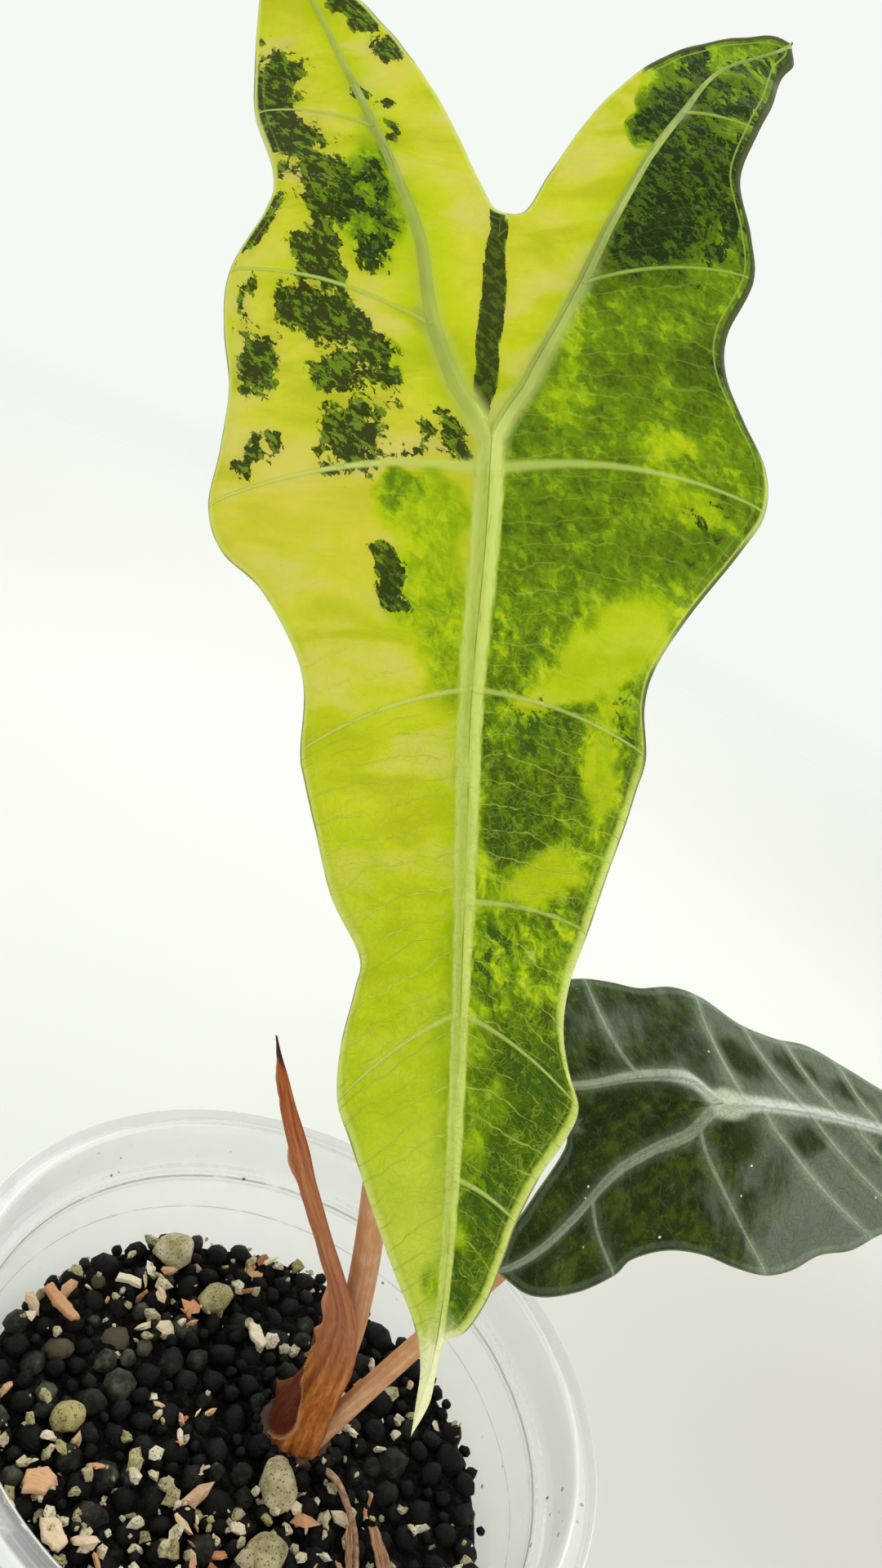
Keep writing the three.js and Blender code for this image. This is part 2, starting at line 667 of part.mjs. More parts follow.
function bladeSolid(blade) {
  const points = [];
  const front = [];
  const back = [];
  const known = new Map();
  const tip = blade.midrib[0][0];
  const across = blade.across.clone().normalize();
  const along = blade.along.clone().normalize();
  const out = blade.out.clone().normalize();

  function place(flat, height) {
    const key = `${flat[0].toFixed(3)},${flat[1].toFixed(3)}`;
    if (known.has(key)) return known.get(key);
    const number = points.length;
    known.set(key, number);
    points.push(blade.joint.clone()
      .addScaledVector(across, flat[0])
      .addScaledVector(along, flat[1])
      .addScaledVector(out, blade.form(flat[0], flat[1])));
    front.push(bladeThickness / 2 + height);
    back.push(bladeThickness / 2 + backRibShare * height);
    return number;
  }

  function ribAt(side, reach) {
    if (reach >= 0) return [lookUp(blade.midrib, reach)[0], reach];
    const length = reach * side.lobeLength;
    return [lookUp(side.basal, length)[0], length];
  }

  function cleftAt(side, reach) {
    if (reach >= blade.notchReach) {
      const share = reach / blade.notchReach;
      return [side.cleft[0][1] * share, -blade.notch * share];
    }
    return lookUp(side.cleft, reach);
  }

  const handed = Math.sign(new THREE.Vector3().crossVectors(across, along).dot(out));
  const triangles = [];
  const rows = bladeRows(blade);
  for (const [name, turn] of [['left', -1], ['right', 1]]) {
    const side = blade.sides[name];
    const outer = [];
    const inner = [];
    for (const reach of rows) {
      const rib = ribAt(side, reach);
      const ribShare = reach >= 0 ? 1 - reach / tip : 1 + reach;
      const ribWidth = THREE.MathUtils.lerp(blade.ribWidth[1], blade.ribWidth[0], ribShare) / 2;
      const ribHeight = THREE.MathUtils.lerp(blade.ribHeight[1], blade.ribHeight[0], ribShare);
      const isVein = side.veins.some((vein) => Math.abs(vein - reach) < 1e-6);
      const veinHeight = isVein ? blade.ribHeight[1] : 0;
      const edge = lookUp(side.margin, reach);
      const spans = [[outer, edge, veinHeight]];
      if (reach <= 0) spans.push([inner, cleftAt(side, reach), 0]);
      for (const [grid, end, height] of spans) {
        const length = Math.hypot(end[0] - rib[0], end[1] - rib[1]);
        const near = length > 0 ? Math.min(farthestRibSide, ribWidth / length) : farthestRibSide;
        const line = [place(rib, ribHeight)];
        const columns = [near, ...blade.columns.map((column) => near + (1 - near) * column)];
        columns.forEach((share) => {
          const bow = grid === outer ? veinBow * length * share * (1 - share) : 0;
          const flat = [
            rib[0] + (end[0] - rib[0]) * share,
            rib[1] + (end[1] - rib[1]) * share - bow,
          ];
          const shoulder = share === near ? ribHeight * ribSideHeight : 0;
          line.push(place(flat, height * (1 - share ** 2) + shoulder));
        });
        grid.push(line);
      }
    }
    const flipOuter = turn * handed > 0;
    gridTriangles(outer).forEach(([a, b, c]) => triangles.push(flipOuter ? [a, c, b] : [a, b, c]));
    gridTriangles(inner).forEach(([a, b, c]) => triangles.push(flipOuter ? [a, b, c] : [a, c, b]));
  }
  return thickenSheet(points, triangles, points.map(() => out), front, back);
}

const plant = new THREE.Group();
plant.name = 'potted_kris_plant';
plant.add(
  namedMesh('pot', pot(), finishes.clearPlastic),
  namedMesh('growing_medium', growingMedium(), finishes.fill),
  namedMesh('rhizome', rhizome(), finishes.root),
  namedMesh('petiole_tall', petioleTall(), finishes.stalk),
  namedMesh('petiole_low', petioleLow(), finishes.stalk),
  namedMesh('blade_tall', bladeSolid(tallBlade), finishes.tallBlade),
  namedMesh('blade_low', bladeSolid(lowBlade), finishes.lowBlade),
  namedMesh('cataphyll', cataphyll(), finishes.drySheath),
  namedMesh('surface_root', surfaceRootShape(), finishes.root),
);
stones.forEach((stone, i) => plant.add(namedMesh(`pumice_stone_${i + 1}`, stoneShape(stone, i + 1), finishes.pumice)));
chips.forEach((chip, i) => plant.add(namedMesh(`bark_chip_${i + 1}`, chipShape(chip), finishes.bark)));
strips.forEach((strip, i) => plant.add(namedMesh(`dry_sheath_${i + 1}`, stripShape(strip), finishes.drySheath)));

export default plant;
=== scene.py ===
"""Potted kris plant: the looks of each piece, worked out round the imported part.

Every shape below is a surface of two parameters, computed with numpy as whole arrays. Tables are in
millimetres, in the part's own frame, and are turned into metres when a mesh is made.
"""
from math import ceil, cos, pi, radians, sin

import bpy
import numpy as np
from mathutils import Matrix, Vector


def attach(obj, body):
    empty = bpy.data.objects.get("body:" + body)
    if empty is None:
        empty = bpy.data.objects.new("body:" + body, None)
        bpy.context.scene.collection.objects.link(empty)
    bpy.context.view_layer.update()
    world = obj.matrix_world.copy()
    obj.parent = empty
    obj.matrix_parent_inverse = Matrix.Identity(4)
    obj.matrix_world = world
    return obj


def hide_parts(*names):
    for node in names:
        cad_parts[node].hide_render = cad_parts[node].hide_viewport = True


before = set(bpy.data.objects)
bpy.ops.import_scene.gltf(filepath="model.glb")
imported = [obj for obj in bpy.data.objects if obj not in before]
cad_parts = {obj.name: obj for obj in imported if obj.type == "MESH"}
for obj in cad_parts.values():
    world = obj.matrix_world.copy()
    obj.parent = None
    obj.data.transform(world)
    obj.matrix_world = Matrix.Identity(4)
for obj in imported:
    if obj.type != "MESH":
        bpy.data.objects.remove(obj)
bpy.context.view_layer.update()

bl_info = {
    "name": "Potted Kris Plant",
    "version": (1, 0, 0),
    "blender": (4, 5, 0),
    "location": "View3D > Sidebar > Kris Plant",
    "description": "Makes the blades, stalks, sheath, fill and clear cup of a potted kris plant",
    "category": "Add Mesh",
}

MM = 0.001
BODY = "root"


# Small helpers for arrays

def paint(red, green, blue):
    """A screen colour of 0 to 255 as the linear colour that a shader takes."""
    share = np.array([red, green, blue]) / 255.0
    linear = np.where(share <= 0.04045, share / 12.92, ((share + 0.055) / 1.055) ** 2.4)
    return tuple(float(part) for part in linear)


def unit(vectors):
    """Vectors divided by their own lengths."""
    vectors = np.asarray(vectors, float)
    return vectors / np.maximum(np.linalg.norm(vectors, axis=-1, keepdims=True), 1e-12)


def ease(values):
    """The smooth step 3t^2 - 2t^3 of values held between 0 and 1."""
    held = np.clip(values, 0.0, 1.0)
    return held * held * (3.0 - 2.0 * held)


def lattice_noise(points, cell, seed):
    """Smooth noise between -1 and 1: a random value at each corner of a cubic lattice of the given
    cell, and between the corners their mean weighted by the smooth step along each axis."""
    table = np.random.default_rng(seed).uniform(-1.0, 1.0, 4096)
    place = np.asarray(points, float) / cell
    base = np.floor(place).astype(np.int64)
    share = ease(place - base)
    total = np.zeros(place.shape[:-1])
    for corner in np.ndindex(2, 2, 2):
        at = base + corner
        key = (at[..., 0] * 73856093) ^ (at[..., 1] * 19349663) ^ (at[..., 2] * 83492791)
        weight = np.prod(np.where(corner, share, 1.0 - share), axis=-1)
        total += table[key & 4095] * weight
    return total


def through_points(points, places):
    """A uniform Catmull-Rom curve: at a place i + t it is the cubic that runs from point i to point
    i + 1 with half the step between each one's two neighbours as its slope."""
    points = np.asarray(points, float)
    last = len(points) - 1
    start = np.clip(np.floor(places).astype(int), 0, last - 1)
    t = (places - start)[..., None]
    p0, p1 = points[np.maximum(start - 1, 0)], points[start]
    p2, p3 = points[start + 1], points[np.minimum(start + 2, last)]
    slope_1 = (p2 - p0) / 2
    slope_2 = (p3 - p1) / 2
    return (
        (2 * p1 - 2 * p2 + slope_1 + slope_2) * t ** 3
        + (3 * p2 - 3 * p1 - 2 * slope_1 - slope_2) * t ** 2
        + slope_1 * t
        + p1
    )


def lengths_along(path):
    """The distance from a path's first point to each of its points."""
    steps = np.linalg.norm(np.diff(path, axis=0), axis=-1)
    return np.concatenate([np.zeros((1, *steps.shape[1:])), np.cumsum(steps, axis=0)])


def even_turns(count):
    """Angles at even steps round a circle."""
    return np.arange(count) / count * 2 * pi


def look_up(table, keys):
    """The rest of a table's row at each key, on a smooth curve through its rows. The first column
    holds the keys, from high to low."""
    table = np.asarray(table, float)
    heads = table[:, 0]
    first = np.searchsorted(-heads, -np.asarray(keys, float), side="right") - 1
    first = np.clip(first, 0, len(heads) - 2)
    mix = np.clip((keys - heads[first]) / (heads[first + 1] - heads[first]), 0.0, 1.0)
    return through_points(table[:, 1:], first + mix)


# Meshes from grids

def grid_triangles(numbers):
    """Two triangles for each square of a grid of numbered points, less those with a corner twice."""
    corners = (numbers[:-1, :-1], numbers[:-1, 1:], numbers[1:, 1:], numbers[1:, :-1])
    quads = np.stack([corner.ravel() for corner in corners], axis=1)
    return whole_triangles(np.concatenate([quads[:, [0, 1, 2]], quads[:, [0, 2, 3]]]))


def whole_triangles(triangles):
    """The triangles whose three corners differ."""
    first, second, third = triangles.T
    return triangles[(first != second) & (second != third) & (first != third)]


def counted(rows, columns):
    """A grid of numbers, counted up row by row."""
    return np.arange(rows * columns).reshape(rows, columns)


def closed_sheet(triangles, count):
    """A sheet's triangles, the same for its back, and a rim along each edge that only one triangle
    has. The back's points follow the front's."""
    edges = np.concatenate([triangles[:, [0, 1]], triangles[:, [1, 2]], triangles[:, [2, 0]]])
    ahead = edges[:, 0] * count + edges[:, 1]
    behind = edges[:, 1] * count + edges[:, 0]
    start, end = edges[~np.isin(ahead, behind)].T
    return np.concatenate([
        triangles,
        triangles[:, ::-1] + count,
        np.stack([end, start, start + count], axis=1),
        np.stack([end, start + count, end + count], axis=1),
    ])


def make_piece(name, points, faces, replaced=(), attributes=None, smooth=True):
    """A mesh object from points in millimetres and an array of faces, riding on the part's body."""
    faces = np.asarray(faces, np.int32)
    corners = faces.shape[1]
    mesh = bpy.data.meshes.new(name)
    mesh.vertices.add(len(points))
    mesh.vertices.foreach_set("co", (np.asarray(points, float) * MM).astype(np.float32).ravel())
    mesh.loops.add(faces.size)
    mesh.loops.foreach_set("vertex_index", faces.ravel())
    mesh.polygons.add(len(faces))
    mesh.polygons.foreach_set("loop_start", np.arange(0, faces.size, corners, dtype=np.int32))
    mesh.polygons.foreach_set("loop_total", np.full(len(faces), corners, np.int32))
    mesh.polygons.foreach_set("use_smooth", np.full(len(faces), smooth))
    for key, values in (attributes or {}).items():
        values = np.asarray(values, np.float32)
        if values.ndim == 2:
            mesh.attributes.new(key, "FLOAT_VECTOR", "POINT").data.foreach_set("vector", values.ravel())
        else:
            mesh.attributes.new(key, "FLOAT", "POINT").data.foreach_set("value", values)
    mesh.update(calc_edges=True)
    mesh.validate()
    piece = bpy.data.objects.new(name, mesh)
    bpy.context.scene.collection.objects.link(piece)
    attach(piece, BODY)
    if replaced:
        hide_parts(*replaced)
    return piece


def dress(piece, finish):
    """Give a piece one finish."""
    piece.data.materials.clear()
    piece.data.materials.append(finish)


def dress_node(name, finish):
    """Give a CAD node that stays in view its finish, by its material slots."""
    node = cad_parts[name]
    node = bpy.data.objects[node] if isinstance(node, str) else node
    for place in node.material_slots:
        place.material = finish
    if not node.material_slots:
        node.data.materials.append(finish)


# Finishes

def math_node(operation, reflected=False):
    """A method that adds one Math node for a value and another one, in turned order if reflected."""
    def method(value, other=0.0):
        first, second = (other, value) if reflected else (value, other)
        return value.finish.add("ShaderNodeMath", {"operation": operation}, {0: first, 1: second})
    return method


class Value:
    """A shader socket that can stand in a sum: each operator adds one Math node that reads it, and each
    method another kind of node."""

    def __init__(self, finish, socket):
        self.finish = finish
        self.socket = socket

    __add__ = math_node("ADD")
    __radd__ = math_node("ADD", reflected=True)
    __sub__ = math_node("SUBTRACT")
    __rsub__ = math_node("SUBTRACT", reflected=True)
    __mul__ = math_node("MULTIPLY")
    __rmul__ = math_node("MULTIPLY", reflected=True)
    __truediv__ = math_node("DIVIDE")
    __pow__ = math_node("POWER")
    __abs__ = math_node("ABSOLUTE")
    fraction = math_node("FRACT")
    most = math_node("MAXIMUM")

    def step(self, low, high):
        """0 below low, 1 above high, and a smooth step between, or the reverse if low is the higher."""
        return self.finish.add("ShaderNodeMapRange", {"interpolation_type": "SMOOTHSTEP"}, {
            "Value": self, "From Min": low, "From Max": high,
        })

    def stretch(self, *scale):
        """This vector with each of its three parts scaled."""
        return self.finish.add("ShaderNodeMapping", None, {"Vector": self, "Scale": scale})

    def aslant(self, angle, *scale):
        """This vector on axes turned by an angle, divided by a scale along each."""
        return self.finish.add("ShaderNodeMapping", {"vector_type": "TEXTURE"}, {
            "Vector": self, "Rotation": (0.0, 0.0, angle), "Scale": scale,
        })

    def noise(self, scale, detail=3.0, roughness=0.55, distortion=0.0):
        """Fractal noise at this place, between 0 and 1."""
        return self.finish.add("ShaderNodeTexNoise", None, {
            "Vector": self, "Scale": scale, "Detail": detail, "Roughness": roughness,
            "Distortion": distortion,
        })

    def cells(self, scale, feature="F1", output=0):
        """Voronoi cells at this place: the distance to the nearest point or edge, or a cell's colour."""
        sockets = {"Vector": self, "Scale": scale}
        return self.finish.add("ShaderNodeTexVoronoi", {"feature": feature}, sockets, output)

    def part(self, axis):
        """One part of this vector, by the letter of its axis."""
        return self.finish.add("ShaderNodeSeparateXYZ", None, {0: self}, axis)


class Finish:
    """A material, with a method that adds any node to it."""

    def __init__(self, name):
        self.material = bpy.data.materials.new(name)
        self.material.use_nodes = True
        self.tree = self.material.node_tree
        self.tree.nodes.clear()
        self.colour = None

    @staticmethod
    def find(sockets, key):
        """A socket by its number, or by its name or identifier among those in use."""
        if isinstance(key, int):
            return sockets[key]
        in_use = (socket for socket in sockets if socket.enabled)
        return next(socket for socket in in_use if key in (socket.name, socket.identifier))

    def add(self, kind, settings=None, sockets=None, output=0):
        """Add a node: its settings first, then a value or a link for each named socket."""
        node = self.tree.nodes.new(kind)
        for name, value in (settings or {}).items():
            if name == "stops":
                self.set_stops(node.color_ramp, value)
            else:
                setattr(node, name, value)
        for key, value in (sockets or {}).items():
            socket = self.find(node.inputs, key)
            if isinstance(value, Value):
                self.tree.links.new(value.socket, socket)
            elif socket.type == "RGBA":
                socket.default_value = (*value[:3], 1.0)
            else:
                socket.default_value = value
        return Value(self, self.find(node.outputs, output))

    @staticmethod
    def set_stops(ramp, stops):
        """Fill a colour ramp from pairs of a place and a colour."""
        while len(ramp.elements) < len(stops):
            ramp.elements.new(1.0)
        for element, (place, colour) in zip(ramp.elements, stops):
            element.position = place
            element.color = (*colour[:3], 1.0)

    def attribute(self, name, output="Fac"):
        """A value that each point of the mesh carries."""
        return self.add("ShaderNodeAttribute", {"attribute_name": name}, None, output)

    def attributes(self, *names):
        """Several values that each point of the mesh carries."""
        return [self.attribute(name) for name in names]

    def place(self):
        """The place on the object, in metres."""
        return self.add("ShaderNodeTexCoord", None, None, "Object")

    def vector_math(self, operation, sockets, output=0):
        """A Vector Math node with the values or links of its sockets."""
        return self.add("ShaderNodeVectorMath", {"operation": operation}, sockets, output)

    def ramp(self, value, *stops):
        """A colour for each value, from a list of stops."""
        return self.add("ShaderNodeValToRGB", {"stops": stops}, {0: value})

    def blend(self, share, first, second):
        """Two colours mixed by a share."""
        return self.add("ShaderNodeMix", {"data_type": "RGBA"}, {
            "Factor_Float": share, "A_Color": first, "B_Color": second,
        }, "Result_Color")

    def lay(self, share, colour):
        """Lay a colour over what the finish has so far, by a share."""
        self.colour = self.blend(share, self.colour, colour)

    def surface(self, roughness, height, depth, glow=None, **more):
        """The material: the main shader with the finish's colour, a roughness, and the bump of a height
        between 0 and 1 that stands for a depth in metres. A glow is the share and the colour of the
        light that comes through a thin sheet. Words in another name are joined by an underscore."""
        sockets = {"Base Color": self.colour, "Roughness": roughness}
        if depth:
            bump = {"Height": height, "Distance": depth, "Strength": 1.0}
            sockets["Normal"] = self.add("ShaderNodeBump", None, bump)
        sockets.update({name.replace("_", " "): value for name, value in more.items()})
        shader = self.add("ShaderNodeBsdfPrincipled", None, sockets)
        if glow:
            share, colour = glow
            through = self.add("ShaderNodeBsdfTranslucent", None, {"Color": colour})
            shader = self.add("ShaderNodeMixShader", None, {0: share, 1: shader, 2: through})
        node = self.tree.nodes.new("ShaderNodeOutputMaterial")
        self.tree.links.new(shader.socket, node.inputs["Surface"])
        return self.material


# Blades

# A blade: its joint with the stalk, and three axes there. Reach is the distance in front of the joint, and
# behind it the share of a lobe's length, less than 0. Each row of a margin or cleft is a reach and then
# the place across and along, of the midrib the place along and across, and of a basal rib the same.
TALL_BLADE = {
    "joint": (-33.1, 14, 223.3),
    "across": (0.934, 0.106, 0.342),
    "along": (0.35, -0.48, -0.805),
    "out": (-0.079, -0.871, 0.485),
    "notch": 38.2,
    "notch_reach": -0.28,
    "rib_width": (2.6, 0.9),
    "rib_height": (1.3, 0.5),
    "arch": (0.0007, 15.0),
    "fold": (0.1, 0.1),
    "droop": 0.0032,
    "wave": (1.8, 38.0, 46.0),
    "phase": (0.6, 2.3),
    "midrib": [
        (134, 0), (123, 2.1), (113, 2.8), (98, 2.6), (80, 2), (60, 1.1), (36, 0.1), (15, 0.3), (0, 0),
    ],
    "left": {
        "lobe": 88,
        "veins": (79.4, 36, 4, -0.2, -0.58),
        "basal": [
            (0, 0), (-8, -5.3), (-17.8, -9.6), (-31, -12.5), (-40.4, -16.4), (-52.4, -21.9),
            (-63.8, -27.5), (-74.3, -33.1), (-88, -41.5),
        ],
        "margin": [
            (134, 0, 134), (129, 0.3, 130), (123.5, 0.5, 125), (117, -0.8, 119.8), (107.5, -4.3, 112.6),
            (97, -7.8, 104.8), (88, -10.9, 97.5), (79.4, -13.2, 92), (74, -13.4, 85), (69, -12.2, 77.5),
            (65, -12, 73), (59, -16.4, 65.6), (53, -19.2, 57.3), (45, -21.4, 50.5), (36, -22.4, 46.5),
            (31.5, -22.8, 38), (27, -25, 31.7), (21, -30.5, 23.5), (14.5, -36.5, 18.5),
            (4, -38.9, 12.5), (-0.02, -38.2, 4), (-0.09, -38.6, -7), (-0.15, -40.9, -17.5),
            (-0.2, -40.9, -26), (-0.31, -36.2, -35.5), (-0.45, -35.8, -42), (-0.58, -40.6, -55),
            (-0.7, -42.1, -65), (-0.84, -42.4, -76), (-1, -41.5, -88),
        ],
        "cleft": [
            (-0.28, 0, -38.2), (-0.35, -2.4, -39.2), (-0.43, -5.6, -45), (-0.52, -10.6, -55.1),
            (-0.61, -15.2, -62.8), (-0.7, -20.5, -70), (-0.8, -27.5, -77.5), (-0.9, -35, -84),
            (-1, -41.5, -88),
        ],
    },
    "right": {
        "lobe": 77.7,
        "veins": (100.5, 79.4, 65, 36, 4, -0.34, -0.74),
        "basal": [
            (0, 0), (-8.5, 4.1), (-23.5, 10.2), (-36.3, 14.9), (-48, 19.9), (-57.6, 25.1), (-67.7, 31),
            (-77.7, 43.2),
        ],
        "margin": [
            (134, 0, 134), (129, 2.1, 129.5), (124, 2.8, 124), (121.5, 3.4, 121.6), (117, 6.2, 119.9),
            (111, 8.6, 115.6), (106, 10.2, 110.5), (100.5, 11.6, 105.6), (94, 14.2, 99.5),
            (86, 17.3, 94.2), (79.4, 18.5, 90.3), (76, 17, 86), (72, 15.8, 80.5), (68.5, 16.2, 74.5),
            (65, 18.2, 67.5), (57, 20.2, 60), (49, 22.2, 53), (42, 23.4, 48), (36, 24.4, 43.5),
            (31.5, 23.8, 36.5), (27, 25.2, 30.5), (20, 29.8, 22.2), (11, 36.5, 12.3), (4, 39.7, 6.5),
            (-0.04, 39.3, 0.5), (-0.12, 35.8, -6.5), (-0.19, 33.2, -14), (-0.26, 33.5, -21.5),
            (-0.34, 37.4, -31.5), (-0.44, 36.6, -38.5), (-0.57, 34.4, -47), (-0.74, 37, -56),
            (-0.83, 39.6, -63), (-0.92, 41.6, -70.5), (-0.97, 43.9, -74.6), (-1, 43.4, -77.7),
        ],
        "cleft": [
            (-0.28, 0, -38.2), (-0.36, 2.6, -38.9), (-0.45, 5.4, -45), (-0.54, 9.8, -53.7),
            (-0.63, 14, -60.4), (-0.72, 20.5, -68), (-0.81, 27.6, -73.2), (-0.9, 35.5, -76.9),
            (-0.96, 40.6, -78.4), (-1, 43.4, -77.7),
        ],
    },
}

LOW_BLADE = {
    "joint": (50.2, 27.3, 138.3),
    "across": (0.355, -0.587, -0.728),
    "along": (0.914, 0.382, 0.138),
    "out": (0.197, -0.714, 0.672),
    "notch": 29.5,
    "notch_reach": -0.5,
    "rib_width": (1.7, 0.7),
    "rib_height": (1, 0.4),
    "arch": (0.0011, 8.0),
    "fold": (-0.6, -0.06),
    "droop": 0.002,
    "wave": (1.3, 27.0, 34.0),
    "phase": (0.4, 2.0),
    "midrib": [(80, 2), (70, 3.4), (55, 3.6), (35, 2.2), (20, 0.4), (8, -0.2), (0, 0)],
    "left": {
        "lobe": 46.5,
        "veins": (34, 25, 17.5, 5.2, -0.33),
        "basal": [(0, 0), (-5, -3.9), (-14, -3.6), (-27, -0.8), (-37, -0.6), (-46.5, -3.5)],
        "margin": [
            (80, 2, 80), (75, -0.2, 74.5), (69, -2.4, 67), (63, -4.6, 60), (57, -6.2, 54.5),
            (51, -5.4, 47.5), (44, -5, 40.5), (37, -9, 32.5), (30, -13, 25), (24, -13.8, 17.5),
            (17.5, -16, 10.2), (7.5, -20.4, 4), (-0.04, -22.1, -1.5), (-0.16, -21.2, -8.5),
            (-0.25, -21.8, -14.6), (-0.35, -21.4, -22), (-0.55, -18.2, -33.4), (-0.8, -11.2, -42.3),
            (-1, -3.5, -46.5),
        ],
        "cleft": [
            (-0.5, 6.2, -29.5), (-0.62, 5.4, -33), (-0.76, 3.4, -38), (-0.88, 0.6, -42.5),
            (-1, -3.5, -46.5),
        ],
    },
    "right": {
        "lobe": 39.5,
        "veins": (42, 28, 18, 7.8, -0.12, -0.6),
        "basal": [
            (0, 0), (-6.2, 5.5), (-13.2, 8.6), (-19.8, 13), (-26.8, 20.6), (-33, 26), (-39.5, 29.2),
        ],
        "margin": [
            (80, 2, 80), (69, 6, 75.5), (58, 9.6, 69), (47, 11.4, 62), (36, 14.8, 54.5),
            (24.5, 17.2, 46), (15, 18.8, 40), (8.6, 20.6, 34), (5.4, 23.3, 28), (2.6, 24.4, 22),
            (-0.02, 27.2, 17), (-0.12, 28.2, 11.5), (-0.2, 27, 4), (-0.27, 25.2, -2.5),
            (-0.36, 24.8, -9), (-0.47, 26.6, -14.8), (-0.6, 29.4, -17.6), (-0.72, 32.2, -24),
            (-0.86, 32.8, -33), (-1, 29.2, -39.5),
        ],
        "cleft": [
            (-0.5, 6.2, -29.5), (-0.6, 8.8, -29), (-0.7, 13.6, -31.6), (-0.8, 19, -35.3),
            (-0.9, 24.4, -38.6), (-1, 29.2, -39.5),
        ],
    },
}

# The tall blade's stoutest vein, by its reach, and how far side veins bow back for their length
WIDE_VEIN = 4
VEIN_BOW = 0.27
# Half the width of a side vein's ridge, the width of the rolled edge and half a blade's thickness
VEIN_HALF = 0.6
ROLL_WIDTH = 2.2
BLADE_HALF = 0.3
# A distance beyond any vein, and one within which two points count as one
FAR = 40.0
SAME_PLACE = 0.001
# The height of the ribs on the back, and the most of a row's length that a rib's half may take
BACK_RIB_SHARE = 0.6
FARTHEST_RIB_SIDE = 0.28
# Columns across a rib and at the margin, and rows beside a vein
RIB_COLUMNS = np.array([0.0, 0.2, 0.4, 0.6, 0.8, 1.0])
MARGIN_COLUMNS = np.array([0.985, 0.995, 1.0])
VEIN_ROWS = (-1.0, -0.45, 0.45, 1.0)

# Blotches of dark green on the tall blade: across, along, half width, half length in millimetres, turn
# in degrees, and how sure the green is, where 1 is a solid patch and 0.5 a mottled one.
DARK_BLOTCHES = [
    (-38, -61, 4.9, 6.4, -10, 1), (-36.5, -54, 4, 3.6, -5, 1), (-34, -49, 6.4, 4.8, -15, 1),
    (-27, -39, 4.2, 7.6, -12, 1), (-11.8, 21.3, 2, 4.3, -38, 1.25), (-15, 17, 1.7, 1.2, 15, 1),
    (-27, -29, 3.3, 6.7, 8, 1), (-27, -19, 5.9, 4.3, 15, 1), (-19.5, -14, 2.7, 7.3, -40, 1),
    (-22, -10, 3.5, 2.9, 5, 0.9), (-19, 0, 4.4, 6.3, 0, 1), (-34.5, -10, 3.4, 4.8, -10, 1),
    (-37, -32, 1.7, 5.6, 40, 1), (-33.5, 6, 1.5, 3.9, 10, 1), (-30, 3, 1.4, 3, -5, 0.8),
    (-6, 0, 2.9, 3.9, -20, 1), (-10, 3, 2.4, 1.1, 15, 0.8), (-27, -75, 6.2, 3, 20, 1),
    (-21, -67, 3.5, 3.3, 5, 1), (-23, -59, 1.1, 2, -15, 0.9), (-20, -57, 1, 1.1, 25, 0.8),
    (-19, -51, 1.2, 3.1, -20, 0.55), (-21, -38, 4, 9.5, -5, 0.52), (-20, -29, 2.6, 3.1, -15, 0.85),
    (-31, -43, 3, 4, -20, 0.9), (-39, -53, 1, 9.8, -3, 0.9), (-39, -21, 0.6, 5.4, 2, 0.8),
    (-37, -17, 1.3, 4, -12, 0.9), (24, -45, 12, 14.5, 20, 0.66), (23, -38, 4, 7, 35, 1.1),
    (32, -39, 1.9, 8.1, 15, 1), (20, -35, 5, 4.6, 15, 0.9), (42, -74, 2.4, 3.8, 15, 0.9),
    (27, -69, 4.4, 2.5, -15, 0.9), (33, -61, 6, 4.3, 5, 0.8), (23, -58, 4.2, 6.5, 12, 0.85),
    (27, -66, 4.6, 3.4, 10, 0.6), (37, -71, 4, 2.6, -20, 0.6), (33, -16, 1.6, 9.2, 5, 0.5),
    (32, 10, 5, 4, -25, 0.3), (7.5, 42, 5, 5, -5, 0.47), (7, 53, 4.4, 3.4, -15, 0.5),
    (21.5, 41, 2.6, 4.7, 5, 0.42), (6, 71, 2.4, 4.4, 5, 0.42), (14, 87, 4.6, 6, 15, 0.56),
    (8, 101, 3.4, 6, 15, 0.54), (5.5, 112, 2.4, 4, 15, 0.5),
]

